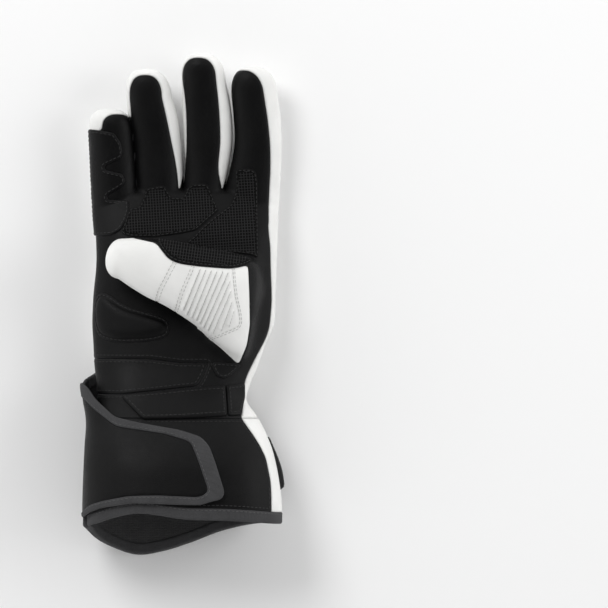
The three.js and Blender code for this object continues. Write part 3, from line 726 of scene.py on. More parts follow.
def finger_front(finger):
    """The outline of one finger's black front."""
    rows, tip = finger["rows"], finger["black_tip"]
    places = np.linspace(rows[0][0] - 12, rows[-1][0], 24)
    edges = between_rows(rows, places)[:, 2:]
    left, right = edges[-1]
    arc = []
    for turn in np.linspace(math.pi, 0, 19)[1:-1]:
        drift = (tip[0] - (left + right) / 2) * math.sin(turn)
        across = math.copysign(abs(math.cos(turn)) ** (2 / TIP_FULLNESS), math.cos(turn))
        along = math.sin(turn) ** (2 / TIP_FULLNESS)
        arc.append(((left + right) / 2 + drift + (right - left) / 2 * across,
                    rows[-1][0] + (tip[1] - rows[-1][0]) * along))
    return list(zip(edges[:, 0], places)) + arc + list(zip(edges[::-1, 1], places[::-1]))


palm_outline = KNUCKLE_LINE + list(rounded(PALM_RIGHT, 6, closed=False)) + [(-70, -80)]
fronts = [within(hand, finger_front(finger)) for finger in FINGERS.values()]
# Between the little and the ring finger the black leather reaches deeper
hand_x, hand_y = hand["flat"].T
between = np.exp(-((hand_x - DEEP_X) / DEEP_WIDTH) ** 2)
between *= np.clip((hand_y - DEEP_START) / DEEP_FADE, 0, 1) * np.clip((DEEP_END - hand_y) / DEEP_FADE, 0, 1)
seam_level = SEAM_LEVEL - DEEP_SEAM * between
black_side = np.minimum(above(hand, seam_level), np.max([within(hand, palm_outline)] + fronts, axis=0))
thumb_top = np.minimum(within(hand, rounded(THUMB_WHITE, 3)),
                       above(hand, np.interp(hand_x, *np.transpose(THUMB_SEAM))))
thumb_under = np.minimum(within(hand, THUMB_FREE), hand["thumbness"])
hand_length = hand_y - WRIST_SEAM
not_thumb = -np.maximum(thumb_top, thumb_under)

# The white leather is painted grey beside its seams as painted shade.
white_leather = leather("white_leather", WHITE, (0.5, 0.5, 0.49), 0.5, 0.00007, 0.75)
black_leather = leather("black_leather", BLACK, (0.01, 0.01, 0.0104), 0.4, 0.0001, 0.8, 0.11)
lining_cloth = leather("hand_lining", (0.016, 0.016, 0.017), (0.016, 0.016, 0.017), 0.9, 0.0001, 0.0, 0.1)

back_edge = np.min([-black_side, not_thumb, hand_length], axis=0)
sewn("back_leather", ["back_panel"] + [f"{name}_finger_back" for name in FINGERS], panel(hand, back_edge),
     0.0, -LEATHER, (white_leather, lining_cloth))

# The black leather of the palm
# One panel covers the palm and runs up the front of each finger. Another crosses the wrist between two seams.
wrist_outline = rounded(WRIST_PANEL, 2)
wrist_side = within(hand, wrist_outline)
palm_edge = np.min([black_side, not_thumb, hand_length, -wrist_side], axis=0)
palm_face = sewn("palm_leather", ["palm_panel"] + [f"{name}_finger_front" for name in FINGERS],
                 panel(hand, palm_edge), 0.0, -LEATHER, (black_leather, lining_cloth))
wrist_face = sewn("wrist_leather", ["wrist_panel"], panel(hand, np.minimum(black_side, wrist_side)),
                  0.0, -LEATHER, (black_leather, lining_cloth))

# Thread
# Rows of short stitches follow the sewn-on pieces: black thread on black leather, grey on white.
# Each row is a line drawn on the leather, and Geometry Nodes set the stitches along it.
STITCH_SPACING = 0.0028
STITCH_LENGTH = 0.0021
STITCH_THICKNESS = 0.00046
ROW_INSET = 2.1


def made_real(tree, shape, material):
    """The end of a tree of Geometry Nodes: the shape is made real and gets its material."""
    real = node(tree, "GeometryNodeRealizeInstances", {0: shape.outputs[0]})
    finished = node(tree, "GeometryNodeSetMaterial", {0: real.outputs[0], "Material": material})
    node(tree, "NodeGroupOutput", {0: finished.outputs[0]})
    return tree


def stitching_tree():
    tree, given = node_group("stitching", "GeometryNodeTree", [
        ("Line", "Geometry"), ("Spacing", "Float"), ("Length", "Float"), ("Thickness", "Float"),
        ("Thread", "Material"),
    ], [("Stitches", "Geometry")])
    line = node(tree, "GeometryNodeMeshToCurve", {0: given["Line"]})
    places = node(tree, "GeometryNodeCurveToPoints", {0: line.outputs[0], "Length": given["Spacing"]},
                  mode="LENGTH")
    size = node(tree, "ShaderNodeCombineXYZ", {0: given["Thickness"], 1: given["Thickness"],
                                               2: given["Length"]})
    bead = node(tree, "GeometryNodeMeshUVSphere", {"Segments": 6, "Rings": 4, "Radius": 0.5})
    stitch = node(tree, "GeometryNodeTransform", {0: bead.outputs[0], "Scale": size.outputs[0]})
    smooth = node(tree, "GeometryNodeSetShadeSmooth", {0: stitch.outputs[0]})
    set_in = node(tree, "GeometryNodeInstanceOnPoints", {
        0: places.outputs["Points"], "Instance": smooth.outputs[0], "Rotation": places.outputs["Rotation"]})
    return made_real(tree, set_in, given["Thread"])


def drawn_line(face, values, lift=0.04, clear=0.0):
    """The line on a sewn piece's face where a value is zero, as points and the pairs that join them."""
    faces = face["faces"][face["edge"][face["faces"]].min(1) > clear]
    _, pairs, share, place, crossed = crossed_sides(values + 1e-5, faces)
    points = part_way(face["points"] + face["normals"] * lift, pairs, share)
    return points, place[crossed].reshape(-1, 2)


def made_along(lines, tree, name, values):
    """The piece that a tree of Geometry Nodes makes along drawn lines, as a plain mesh."""
    starts = np.cumsum([0] + [len(points) for points, _ in lines])
    points = (np.vstack([points for points, _ in lines]) - MIDDLE) * METRES
    edges = np.vstack([pairs + start for (_, pairs), start in zip(lines, starts)])
    mesh = bpy.data.meshes.new(name)
    mesh.from_pydata(points.tolist(), edges.tolist(), [])
    piece = bpy.data.objects.new(name, mesh)
    bpy.context.scene.collection.objects.link(piece)
    maker = piece.modifiers.new(name, "NODES")
    maker.node_group = tree
    for item in tree.interface.items_tree:
        if item.in_out == "INPUT" and item.name in values:
            maker[item.identifier] = values[item.name]
    made = bpy.data.meshes.new_from_object(piece.evaluated_get(bpy.context.evaluated_depsgraph_get()))
    piece.modifiers.clear()
    piece.data = made
    bpy.data.meshes.remove(mesh)
    made.name = name
    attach(piece, "root")


STITCHING = stitching_tree()


def stitched(name, lines, thread, spacing=STITCH_SPACING):
    made_along(lines, STITCHING, name, {
        "Spacing": spacing, "Length": STITCH_LENGTH, "Thickness": STITCH_THICKNESS, "Thread": thread})


def thread_finish(name, colour):
    """Twisted thread: matt, with a fine uneven bump."""
    material, tree, place, surface = new_finish(name)
    ply = node(tree, "ShaderNodeTexNoise", {"Vector": place, "Scale": 4200.0}).outputs["Fac"]
    bump = node(tree, "ShaderNodeBump", {"Height": ply, "Distance": 0.0001, "Strength": 0.5})
    tree.links.new(mixed(tree, ply, [0.6 * part for part in colour], colour), surface.inputs["Base Color"])
    tree.links.new(bump.outputs[0], surface.inputs["Normal"])
    surface.inputs["Roughness"].default_value = 0.7
    return material


black_thread = thread_finish("black_thread", (0.017, 0.017, 0.0175))
white_thread = thread_finish("white_thread", (0.5, 0.5, 0.49))

stitched("wrist_stitching", [drawn_line(palm_face, -within(palm_face, wrist_outline) - ROW_INSET, clear=0.8),
                             drawn_line(wrist_face, wrist_face["edge"] - ROW_INSET)], black_thread)

# The thumb
# Its back is white leather with a stretch insert of ten lapped folds and two seams nearer its tip.
# Its palm side is black, and a strip of grip cloth is sewn along its upper side.
FOLDS = [  # where each fold starts below the grip cloth, and where it ends
    (11.5, 22.5, 0.5, -4.5), (14.9, 21.9, 3, -7), (18.5, 21.7, 6, -8.8), (21.8, 20.9, 8.8, -10.5),
    (25.4, 20.8, 11.2, -12.3), (28.8, 20.2, 13.2, -15.2), (30, 15, 16, -17), (30.6, 8.8, 18.9, -18.8),
    (31.4, 2.6, 24.3, -16.8), (32.5, -3.4, 29, -14.8),
]
FOLD_RISE = 1.15
FOLD_LAP = 2.7
FOLD_DROP = 0.4
FOLD_END = 1.6
SEAM_WIDTH = 0.55
TIP_SEAM = [(-2.6, 29), (-4.2, 25.8), (-6.7, 21.4), (-9.8, 15.2), (-13.6, 8.3), (-15.5, 1.4), (-17, -5)]
INSERT_SEAM = [(8.4, 27), (7, 23.3), (5.2, 18.3), (2.7, 13.3), (0.2, 7), (-1.7, 1.4), (-3, -3), (-4.2, -7)]
INSERT_BORDER = [(31.4, 26), (31.4, 20.8), (32, 12), (33.3, 2.7), (35.2, -4.2), (36.3, -13.2), (30.8, -15.5),
                 (25.2, -18), (18.3, -20.5), (14, -22.3)]
THUMB_LINES = [rounded(line, 4, closed=False) for line in (TIP_SEAM, INSERT_SEAM, INSERT_BORDER)]


def beside(skin, line):
    """How far each point lies to the left of a line that runs down the thumb's back."""
    line = np.asarray(line, float)
    first = line[0] + (line[0] - line[1]) * 20
    last = line[-1] + (line[-1] - line[-2]) * 20
    return within(skin, [first, *line, last, (-300, last[1]), (-300, first[1])])


def fold_places(skin, fold):
    """How far each point lies past a fold's crest, and how far from its nearer end."""
    start, end = np.array(fold[:2]), np.array(fold[2:])
    length = np.linalg.norm(end - start)
    along = (end - start) / length
    from_start = skin["flat"] - start
    past = from_start @ np.array([-along[1], along[0]])
    run = from_start @ along
    return past, np.minimum(run, length - run)


def fold_relief(skin):
    height = np.zeros(len(skin["flat"]))
    for fold in FOLDS:
        past, inside = fold_places(skin, fold)
        rise = np.clip(1 + past / FOLD_LAP, 0, 1) ** 1.7
        drop = 0.5 + 0.5 * np.cos(math.pi * np.clip(past / FOLD_DROP, 0, 1))
        height = np.maximum(height, FOLD_RISE * np.where(past > 0, drop, rise) * eased(inside / FOLD_END))
    for line, depth in zip(THUMB_LINES, (0.45, 0.3, 0.3)):
        height -= depth * np.exp(-(beside(skin, line) / SEAM_WIDTH) ** 2)
    return height


thumb_panel = panel(hand, thumb_top)
for fold in FOLDS:
    for level in (-1.3, 0.0, FOLD_DROP * 0.5, FOLD_DROP):
        thumb_panel = cut_line(dict(thumb_panel, fold=fold_places(thumb_panel, fold)[0]), "fold", level)
for line in THUMB_LINES:
    for level in (-0.6, 0.0, 0.6):
        thumb_panel = cut_line(dict(thumb_panel, fold=beside(thumb_panel, line)), "fold", level)
thumb_face = sewn("thumb_back_leather", ["thumb_back"], thumb_panel, 0.1, -LEATHER,
                  (white_leather, lining_cloth), relief=fold_relief)

tip_line, insert_line, border_line = [beside(thumb_face, line) for line in THUMB_LINES]
thumb_rows = [drawn_line(thumb_face, value, clear=0.8) for value in (
    tip_line - 1.1, tip_line + 1.1, insert_line - 0.9, insert_line + 0.9,
    border_line + 0.7, border_line + 1.9)]
stitched("thumb_stitching", thumb_rows, white_thread, 0.0026)

fold_rows = []
for fold in FOLDS:
    past, inside = fold_places(thumb_face, fold)
    start_to_end = dict(thumb_face, edge=np.minimum(thumb_face["edge"] - 0.5, inside))
    fold_rows.append(drawn_line(start_to_end, past - FOLD_DROP - 0.12, -0.05, 0.9))
stitched("fold_stitching", fold_rows, white_thread, 0.0019)

sewn("thumb_palm_leather", ["thumb_palm_side"], panel(hand, np.minimum(thumb_under, -thumb_top)),
     0.0, -LEATHER, (black_leather, lining_cloth))

# The grip cloth
# Three patches of cloth with a close grid of raised cords: one with lobes at the finger roots, one from the
# index finger down to the thumb, and one along the thumb's upper side.
GRIP_PATCH = [
    (-32.5, 60), (-27, 60), (-23.5, 67.5), (-22.5, 72.5), (-11, 74.5), (-6.5, 66.3), (0.8, 66.3), (3.8, 72),
    (7, 75.3), (16, 75.3), (21.5, 62), (23, 58.5), (14, 50.5), (9, 46), (-1, 44), (-16.5, 41.8), (-31.5, 42),
    (-38, 44), (-36, 50),
]
CROTCH_PATCH = [
    (34, 84.3), (42.5, 85), (46.5, 83), (47.5, 76), (47.6, 40), (47.6, 29), (44, 26.4), (30, 24), (14.5, 27),
    (3, 30), (3, 39), (7.5, 42.3), (12.4, 47.6), (20.5, 54.5), (30.5, 61.8), (34, 71.5),
]
THUMB_MESH = [
    (-15, 46), (-15.2, 38.6), (-12.2, 33.9), (-7.5, 28.2), (-0.9, 25.6), (11.5, 24), (30, 22.6), (36, 23.4),
    (41, 25), (45.5, 28), (47, 33), (30, 44),
]
GRID_PITCH = 1.75
GRID_TILT = math.radians(3.5)
THUMB_GRID_TILT = math.radians(-8)
THUMB_MESH_LEVEL = 44
CORD = 0.00046
CORD_STEP = 0.0012
GRIP_BORDER = 1.3


def cord_tree():
    tree, given = node_group("raised cords", "GeometryNodeTree", [
        ("Line", "Geometry"), ("Thickness", "Float"), ("Cloth", "Material")], [("Cords", "Geometry")])
    line = node(tree, "GeometryNodeMeshToCurve", {0: given["Line"]})
    even = node(tree, "GeometryNodeResampleCurve", {0: line.outputs[0], "Length": CORD_STEP}, mode="LENGTH")
    radius = maths(tree, "MULTIPLY", given["Thickness"], 0.5)
    round_cord = node(tree, "GeometryNodeCurvePrimitiveCircle", {"Resolution": 5, "Radius": radius})
    cords = node(tree, "GeometryNodeCurveToMesh", {0: even.outputs[0], 1: round_cord.outputs[0],
                                                   "Fill Caps": True})
    smooth = node(tree, "GeometryNodeSetShadeSmooth", {0: cords.outputs[0]})
    return made_real(tree, smooth, given["Cloth"])


CORDS = cord_tree()
grip_base = leather("grip_base", (0.003, 0.003, 0.003), (0.012, 0.012, 0.012), 0.8, 0.00008, 0.6, 0.08)
grip_cord = leather("grip_cord", (0.013, 0.013, 0.0135), (0.013, 0.013, 0.0135), 0.62, 0.00008, 0.0, 0.25)


def grip_patch(name, node_name, edge, tilt):
    face = sewn(name, [node_name], panel(hand, edge), 0.95, 0.1, (grip_base, grip_base), 0.6, 0.9)
    inner = dict(face, faces=face["faces"][face["edge"][face["faces"]].min(1) > GRIP_BORDER])
    x, y = face["flat"].T
    lines = []
    for across in (x * math.cos(tilt) + y * math.sin(tilt), y * math.cos(tilt) - x * math.sin(tilt)):
        inside = across[np.unique(inner["faces"])]
        for row in np.arange(math.ceil(inside.min() / GRID_PITCH), inside.max() / GRID_PITCH):
            points, pairs = drawn_line(inner, across - row * GRID_PITCH, 0.08)
            if len(pairs):
                lines.append((points, pairs))
    made_along(lines, CORDS, name + "_cords", {"Thickness": CORD, "Cloth": grip_cord})
    return face


clear_of_thumb = -hand["thumbness"] - 0.5
grip_face = grip_patch("palm_grip", "palm_grip_patch",
                       np.minimum(within(hand, rounded(GRIP_PATCH, 2.2)), clear_of_thumb), GRID_TILT)
crotch_face = grip_patch("thumb_crotch_grip", "thumb_crotch_patch",
                         np.minimum(within(hand, rounded(CROTCH_PATCH, 2.2)), clear_of_thumb), GRID_TILT)
side_face = grip_patch("thumb_side_grip", "thumb_side_mesh", np.min([
    within(hand, rounded(THUMB_MESH, 4)), hand["thumbness"] + 1.2, above(hand, THUMB_MESH_LEVEL)], axis=0),
    THUMB_GRID_TILT)
stitched("grip_stitching", [drawn_line(face, face["edge"] - 0.95)
                            for face in (grip_face, crotch_face, side_face)], black_thread)

# The second layers on the palm
# A guard with a stepped edge wraps the little finger and the hand's edge, a padded oval sits on the heel of
# the hand, and a V-shaped gusset ends the thumb's seam.
EDGE_GUARD = [
    (-80, 112), (-57, 109.5), (-50, 108.6), (-42.5, 107), (-38.3, 101), (-37.2, 95.5), (-38, 91.5),
    (-48.3, 86.6), (-48, 84), (-37.3, 81.4), (-35.5, 77), (-37, 74.2), (-46.8, 67.9), (-46.3, 65.3),
    (-33.2, 65), (-32.8, 58), (-34.5, 52.5), (-38.3, 46), (-43.5, 43), (-60, 42.6), (-80, 42),
]
HEEL_PAD = [
    (-54, 2.5), (-51, 7.2), (-46, 6.5), (-36, -1), (-20, -5.5), (-9, -9), (-7, -15), (-9.5, -21),
    (-23, -23.5), (-41.5, -24), (-52.5, -20.5), (-54.8, -8),
]
GUSSET = [(18.5, -36.3), (20, -41.5), (22.5, -45.5), (26, -46.5), (30, -45), (37.3, -38), (33.5, -36.8)]
GUARD_THICKNESS = 1.2
PAD_RISE = 2.3
PAD_BORDER, PAD_ROUND = 2.2, 6.0


def second_layer(name, node_name, edge, top, roll):
    return sewn(name, [node_name], panel(hand, edge, 60), top, 0.1, (black_leather, black_leather),
                top - 0.3, roll)


def pad_relief(skin):
    """The foam fills the pad out from its sewn edge."""
    return PAD_RISE * rolled(skin["edge"] - PAD_BORDER, PAD_ROUND)


above_side_seam = above(hand, SEAM_LEVEL + 0.4)
guard_face = second_layer("edge_guard_leather", "edge_guard", np.minimum(
    within(hand, rounded(EDGE_GUARD, 1.2)), above_side_seam), GUARD_THICKNESS, 1.0)
pad_panel = panel(hand, np.min([within(hand, rounded(HEEL_PAD, 6)), above_side_seam, clear_of_thumb], axis=0))
for level in (PAD_BORDER, 2.9, 4.2):
    pad_panel = cut_line(pad_panel, "edge", level)
pad_face = sewn("heel_pad_leather", ["heel_pad"], pad_panel, 0.8, 0.1, (black_leather, black_leather),
                0.5, 0.9, relief=pad_relief)
gusset_face = second_layer("thumb_gusset_leather", "thumb_gusset", np.minimum(
    within(hand, rounded(GUSSET, 1.5)), clear_of_thumb), 0.9, 0.9)
stitched("layer_stitching", [drawn_line(guard_face, guard_face["edge"] - 1.5),
                             drawn_line(pad_face, pad_face["edge"] - 1.25),
                             drawn_line(gusset_face, gusset_face["edge"] - 1.4)], black_thread)

# The wrist strap
# A strap across the wrist, closed on itself, with the end where it is sewn down at the thumb side.
WRIST_STRAP = [
    (27, -50.5), (14.5, -51.5), (-13.5, -54.5), (-36, -56.5), (-37.5, -58.5), (-24, -72.2), (-1, -71.7),
    (28.4, -69.9),
]
STRAP_ANCHOR = [(27.6, -50.5), (39, -49.2), (38.6, -60), (37.6, -69.2), (28.9, -69.9)]
STRAP_THICKNESS = 2.0
ANCHOR_LEVEL = 16.0

strap_face = second_layer("wrist_strap_leather", "wrist_strap", within(hand, rounded(WRIST_STRAP, 1.6)),
                          STRAP_THICKNESS, 1.3)
anchor_face = second_layer("strap_anchor_leather", "strap_anchor", np.minimum(
    within(hand, rounded(STRAP_ANCHOR, 1.5)), above(hand, ANCHOR_LEVEL)), STRAP_THICKNESS - 0.4, 1.2)
stitched("strap_stitching", [drawn_line(strap_face, strap_face["edge"] - 2.2),
                             drawn_line(anchor_face, anchor_face["edge"] - 2.0)], black_thread)

# The inner layer of the cuff
# A wide sleeve of leather with a white stripe down its thumb side. Its back wall is longer and shows its
# knitted lining through the open mouth. It is sewn to the hand round the wrist.
CUFF_END = -168.0
CUFF_STEP = 1.15
CUFF_SIDES = 300
BINDING_WIDTH = 7.5
TAPE_JOIN = 0.16
TAPE_LAP = 0.9
STRIPE_TURN_X = 57
STRIPE = [
    (37.5, -66), (37.5, -71), (44.8, -81.2), (49.2, -88), (53, -96), (56, -111), (56.4, -122.4), (56, -170),
    (95, -170), (95, -66),
]
FRONT_HEM = [
    (-72, -149), (-67.4, -147), (-61.5, -141.5), (-58.2, -138), (-54.5, -137), (-42, -133), (-32.6, -131),
    (4.8, -134.3), (30, -135), (70, -137.5), (76, -137.5),
]
BACK_HEM = [
    (-76, -133), (-70, -133), (-62, -136.6), (-53.4, -146.2), (-41.6, -153), (-27.9, -157.1),
    (-13.6, -155.3), (5.2, -149.6), (23.9, -142.5), (42.7, -138), (70, -136.5), (76, -136.5),
]
CUFF_SOFTNESS = 0.5
CUFF_WAVES = 0.028


def cuff_skin(rows, start, waves):
    """The outer face of one layer of the cuff, with soft waves in its leather."""
    places = np.arange(CUFF_END, start + 0.01, CUFF_STEP)
    points, faces = skin_over(sleeve_sections(rows, places, 0, CUFF_SIDES), False)
    level = points[:, 2].copy()
    normals = outward(points, faces)
    height = np.array([noise.noise(Vector(point) * CUFF_WAVES + Vector((7, 3, 1)))
                       for point in points.tolist()])
    share = np.clip((level - 6) / 10, 0, 1) * np.clip((WRIST_SEAM - 2 - points[:, 1]) / 14, 0, 1)
    points = points + normals * (waves * CUFF_SOFTNESS * (0.5 + height) * share)[:, None]
    count = len(points)
    _, _, bottom, top = between_rows(rows, points[:, 1]).T
    low_left = (level < (bottom - REST_SINK + top) / 2) & (points[:, 0] < 0)
    return {"flat": points[:, :2].copy(), "way": np.ones(count), "level": level, "held": np.zeros(count),
            "low_left": np.where(low_left, 1.0, -1.0), "points": points, "normals": outward(points, faces),
            "faces": faces}


def smooth_line(line):
    """A line that runs softly through its points, which lie in order of x."""
    places = np.arange(line[0][0], line[-1][0], 1.5)
    return list(zip(places, between_rows(line, places)[:, 0]))


def moved(line, distance):
    return [(x, y + distance) for x, y in line]


FRONT_HEM = smooth_line(FRONT_HEM)
BACK_HEM = smooth_line(BACK_HEM)


def knitted(name, colour, pitch, roughness):
    """A close knit or weave: small raised loops in rows, with a little lint. The hollows between the loops are
    painted darker as painted shade.
    """
    material, tree, place, surface = new_finish(name)
    loops = node(tree, "ShaderNodeTexVoronoi", {"Vector": place, "Scale": 1 / pitch, "Randomness": 0.35})
    lint = node(tree, "ShaderNodeTexNoise", {"Vector": place, "Scale": 90.0, "Detail": 4.0})
    raised = ranged(tree, loops.outputs["Distance"], 0.1, 0.7, 1.0, 0.0)
    # The colour is darker between the raised loops: painted shade in the hollows, with the lint as random tone.
    loop_shade_and_lint = maths(tree, "MULTIPLY_ADD", raised, 0.5, lint.outputs["Fac"])
    bump = node(tree, "ShaderNodeBump", {"Height": raised, "Distance": pitch * 0.3, "Strength": 0.7})
    tree.links.new(mixed(tree, loop_shade_and_lint, [0.55 * part for part in colour], colour), surface.inputs["Base Color"])
    tree.links.new(bump.outputs[0], surface.inputs["Normal"])
    surface.inputs["Roughness"].default_value = roughness
    surface.inputs["Specular IOR Level"].default_value = 0.15
    return material


cuff_lining_cloth = knitted("cuff_lining_cloth", (0.05, 0.05, 0.051), 0.0011, 0.9)
inner_cuff = cuff_skin(SLEEVE, -67, -1.0)
cuff_x, cuff_y = inner_cuff["flat"].T
low_left = inner_cuff["low_left"] > 0
above_front_tape = ahead_of(inner_cuff, moved(FRONT_HEM, BINDING_WIDTH))
above_back_tape = ahead_of(inner_cuff, moved(BACK_HEM, BINDING_WIDTH))
cuff_front = np.min([above(inner_cuff, SEAM_LEVEL), WRIST_SEAM - cuff_y,
                     np.where(low_left, above_back_tape, above_front_tape) + TAPE_JOIN], axis=0)
# Past its turn the stripe goes on round the side of the cuff
stripe_side = np.where(cuff_x > STRIPE_TURN_X, FAR, within(inner_cuff, rounded(STRIPE, 3)))
underlap_face = sewn("cuff_underlap_leather", ["cuff_underlap"],
                     panel(inner_cuff, np.minimum(cuff_front, -stripe_side)), 0.0, -LEATHER,
                     (black_leather, cuff_lining_cloth))
sewn("cuff_stripe_leather", ["cuff_side_stripe"], panel(inner_cuff, np.minimum(cuff_front, stripe_side)),
     0.0, -LEATHER, (white_leather, cuff_lining_cloth))
inner_back = np.min([-above(inner_cuff, SEAM_LEVEL), WRIST_SEAM - cuff_y, above_back_tape + TAPE_JOIN], axis=0)
sewn("cuff_lining_cloth", ["cuff_lining"], panel(inner_cuff, inner_back), 0.0, -LEATHER,
     (cuff_lining_cloth, cuff_lining_cloth))
stitched("cuff_stitching", [drawn_line(underlap_face, underlap_face["edge"] - ROW_INSET)], black_thread)

# The outer layer of the cuff
# A second layer covers the back and wraps as a flap from the little-finger side over the palm side, where it
# closes on the inner layer. Round the wrist it stands off as a collar.
COLLAR = [(WRIST_SEAM, -60.2, 50, 0, 61.5), (-60, -62, 45, 0, 58), (-52, -63.3, 46, 0, 55),
          (-42, -63, 50, 0, 51), (-36, -63, 52, 0, 50)]
LAYER = LEATHER + 0.3
CUFF_HALF_WIDTH = 60
COLLAR_EDGE = [(-76, -50), (-63.3, -50.5), (-61.5, -47.5), (-57.6, -44.8), (22, -44.6), (38, -60),
               (46, -76), (60, -86), (76, -90)]
FLAP_EDGE = [
    (-76, -45), (-70, -45), (-59.5, -51.5), (-54.5, -59), (-42, -70), (-26.5, -73.6), (-1.5, -78),
    (12, -82.2), (17.5, -88), (21.2, -98), (27.3, -117.4), (25, -121.8), (19, -122.8), (12, -125.2),
    (-1.5, -125), (-30, -124), (-50, -127), (-58, -129.8), (-62.5, -133.2), (-66, -137), (-70, -143),
    (-78, -148),
]
FLAP_PANEL = [
    (-90, -53), (-70, -53), (-62.3, -58.2), (-55.5, -65), (-41.6, -75.8), (-35.7, -77), (-10.8, -80.6),
    (5.6, -85.6), (10, -96.1), (17, -116.6), (11.4, -120.2), (-14, -119), (-32.6, -119.4), (-48.8, -122.4),
    (-57.5, -125), (-61, -128), (-63, -130.5), (-68, -136), (-90, -146),
]

COLLAR_EDGE = smooth_line(COLLAR_EDGE)
wrap_rows = [(y, left - LAYER, right + LAYER, bottom - LAYER, top + LAYER)
             for y, left, right, bottom, top in SLEEVE if y < COLLAR[0][0]] + COLLAR
outer_cuff = cuff_skin(wrap_rows, -38, 1.0)
flap_side = within(outer_cuff, rounded(FLAP_PANEL, 3))
flap_reach = within(outer_cuff, rounded(FLAP_EDGE, 3))
above_back_hem = ahead_of(outer_cuff, [(x * (1 + LAYER / CUFF_HALF_WIDTH), y + BINDING_WIDTH)
                                       for x, y in BACK_HEM])
collar_reach = -ahead_of(outer_cuff, moved(COLLAR_EDGE, -BINDING_WIDTH))
collar_end = -ahead_of(outer_cuff, COLLAR_EDGE)
# Low on the little-finger side the flap's edge runs into the collar and into the back hem
low_left = outer_cuff["low_left"] > 0
flap_reach = np.where(low_left, np.minimum(collar_end, above_back_hem), flap_reach)
flap_side = np.where(low_left, np.minimum(collar_reach, above_back_hem + FAR), flap_side)
flap_edge = np.where(low_left, np.minimum(collar_reach, above_back_hem + TAPE_LAP), flap_side)
above_outer_seam = above(outer_cuff, SEAM_LEVEL)
sewn("cuff_flap_leather", ["cuff_flap"], panel(outer_cuff, np.minimum(flap_edge + TAPE_JOIN, above_outer_seam)),
     0.0, -LEATHER, (black_leather, lining_cloth))
back_edge = np.min([-above_outer_seam, above_back_hem + TAPE_LAP, collar_reach + TAPE_JOIN], axis=0)
sewn("cuff_back_leather", ["cuff_back"], panel(outer_cuff, back_edge), 0.0, -LEATHER,
     (black_leather, lining_cloth))

# The tape on the edges
# A folded dark grey tape is sewn over the edge of the flap, of the collar and of both hems. On the flap and the
# front hem one row of stitches runs along its inner side.
TAPE = (0.054, 0.054, 0.056)
TAPE_MEET = 38.0
TAPE_RISE = 0.45
TAPE_ROW = 1.3
binding_tape = knitted("binding_tape", TAPE, 0.0008, 0.8)
grey_thread = thread_finish("grey_thread", (0.075, 0.075, 0.077))


def bound_edge(name, node_name, skin, edge, free_edge, top, bottom):
    """A folded tape is rounded on both sides along its free edge, and lies thin on the leather along the
    other."""
    half = 0.42 * (top - bottom)
    fall = np.where(free_edge < BINDING_WIDTH / 2, half, min(half, 0.5))
    return sewn(name, [node_name], panel(dict(skin, fall=fall), edge), top, bottom,
                (binding_tape, binding_tape), 1.0, 1.5, 1.0)


flap_tape_face = bound_edge("flap_tape", "flap_binding", outer_cuff, np.min([
    flap_reach, -flap_side, above_outer_seam], axis=0), flap_reach, TAPE_RISE, -LEATHER)
bound_edge("collar_tape", "collar_binding", outer_cuff, np.min([
    -collar_reach, collar_end, -above_outer_seam], axis=0), collar_end, TAPE_RISE, -LEATHER)
seam_over_tape = above(inner_cuff, np.where(cuff_x < 0, TAPE_MEET, SEAM_LEVEL))
front_end = ahead_of(inner_cuff, FRONT_HEM)
back_end = ahead_of(inner_cuff, BACK_HEM)
front_tape_face = bound_edge("front_hem_tape", "front_hem_binding", inner_cuff, np.min([
    front_end, -above_front_tape, seam_over_tape], axis=0), front_end, 0.22, -LEATHER - 0.5)
bound_edge("back_hem_tape", "back_hem_binding", inner_cuff, np.min([
    back_end, -above_back_tape, -seam_over_tape], axis=0), back_end, LAYER + TAPE_RISE, -LEATHER - 0.5)

flap_row = -within(flap_tape_face, rounded(FLAP_PANEL, 3)) - TAPE_ROW
front_row = -ahead_of(front_tape_face, moved(FRONT_HEM, BINDING_WIDTH)) - TAPE_ROW
stitched("tape_stitching", [drawn_line(flap_tape_face, flap_row, clear=0.8),
                            drawn_line(front_tape_face, front_row, clear=0.8)], grey_thread)

# The guard on the cuff's side
# A black padded guard bulges out of the thumb side beside the white stripe and ends short of the hem.
GUARD_START, GUARD_FULL, GUARD_END = -83, -106, -116
GUARD_LOW, GUARD_HIGH = 14.2, 38
GUARD_INNER_X = 30
GUARD_SWELL = 2.3


def guard_relief(skin):
    rise = eased((GUARD_START - skin["flat"][:, 1]) / (GUARD_START - GUARD_FULL))
    return GUARD_SWELL * rise * rolled(skin["edge"] - 0.5, 4)


guard_edge = np.min([above(inner_cuff, GUARD_LOW), -above(inner_cuff, GUARD_HIGH), GUARD_START - cuff_y,
                     cuff_y - GUARD_END, cuff_x - GUARD_INNER_X], axis=0)
side_guard_face = sewn("cuff_side_guard", ["cuff_side_protector"], panel(inner_cuff, guard_edge), 0.75, 0.12,
                       (black_leather, black_leather), 0.5, 1.0, relief=guard_relief)
stitched("side_guard_stitching", [drawn_line(side_guard_face, side_guard_face["edge"] - 1.6)], black_thread,
         0.0026)

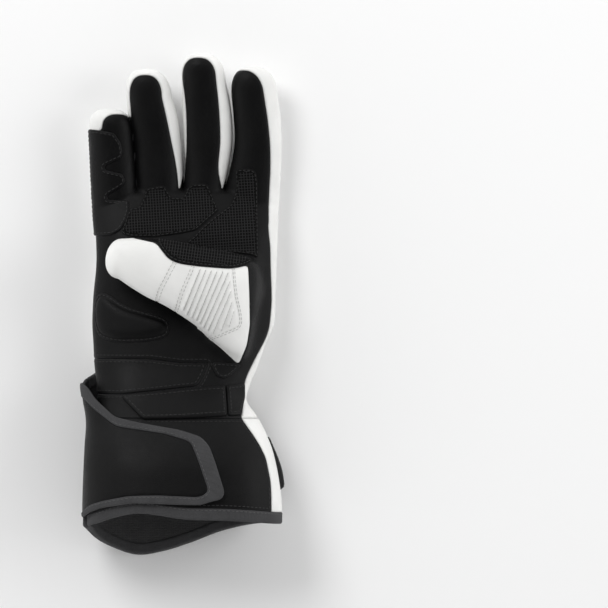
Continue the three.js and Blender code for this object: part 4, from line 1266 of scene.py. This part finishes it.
# The studio
# A pale floor under the glove, soft lamps round it, and a camera straight above the palm.
FLOOR_LEVEL = -0.0002
floor_mesh = bpy.data.meshes.new("floor")
floor_corners = [(x, y, FLOOR_LEVEL) for x, y in ((-4, -4), (4, -4), (4, 4), (-4, 4))]
floor_mesh.from_pydata(floor_corners, [], [(0, 1, 2, 3)])
floor = bpy.data.objects.new("floor", floor_mesh)
bpy.context.scene.collection.objects.link(floor)
floor_paint = bpy.data.materials.new("floor_paint")
floor_paint.use_nodes = True
paint = floor_paint.node_tree.nodes["Principled BSDF"].inputs
paint["Base Color"].default_value = (0.91, 0.91, 0.91, 1)
paint["Roughness"].default_value = 0.9
paint["Specular IOR Level"].default_value = 0.1
floor_mesh.materials.append(floor_paint)

SKY_TOP = (0.06, 0.06, 0.06)
SKY_EDGE = (1.9, 1.9, 1.9)
world = bpy.data.worlds.new("studio")
world.use_nodes = True
sky = world.node_tree
sky.nodes.clear()
look = node(sky, "ShaderNodeTexCoord")
parts = node(sky, "ShaderNodeSeparateXYZ", {0: look.outputs["Generated"]})
height = ranged(sky, parts.outputs["Z"], 0.1, 0.9, 0.0, 1.0)
shine = node(sky, "ShaderNodeBackground", {"Color": mixed(sky, height, SKY_EDGE, SKY_TOP), "Strength": 1.0})
node(sky, "ShaderNodeOutputWorld", {0: shine.outputs[0]})
bpy.context.scene.world = world


def soft_lamp(name, place, size, power):
    lamp = bpy.data.lights.new(name, "AREA")
    lamp.shape = "DISK"
    lamp.size = size
    lamp.energy = power
    holder = bpy.data.objects.new(name, lamp)
    holder.location = place
    holder.rotation_euler = (Vector((0, 0, 0.03)) - Vector(place)).to_track_quat("-Z", "Y").to_euler()
    bpy.context.scene.collection.objects.link(holder)


soft_lamp("upper_left_lamp", (-0.8, 1.1, 1.5), 0.9, 17)
soft_lamp("right_lamp", (1.4, 0.3, 0.9), 0.9, 7)
bpy.context.scene.view_settings.view_transform = "Standard"

PICTURE_WIDTH = 0.38
LENS = 1000.0
SENSOR = 36.0
VIEW_X, VIEW_Y, VIEW_LEVEL = 0.0757, 0.0005, 0.035
camera = bpy.data.cameras.new("camera")
camera.lens = LENS
camera.sensor_width = SENSOR
camera.clip_end = 50
viewer = bpy.data.objects.new("camera", camera)
viewer.location = (VIEW_X, VIEW_Y, VIEW_LEVEL + PICTURE_WIDTH * LENS / SENSOR)
bpy.context.scene.collection.objects.link(viewer)
bpy.context.scene.camera = viewer
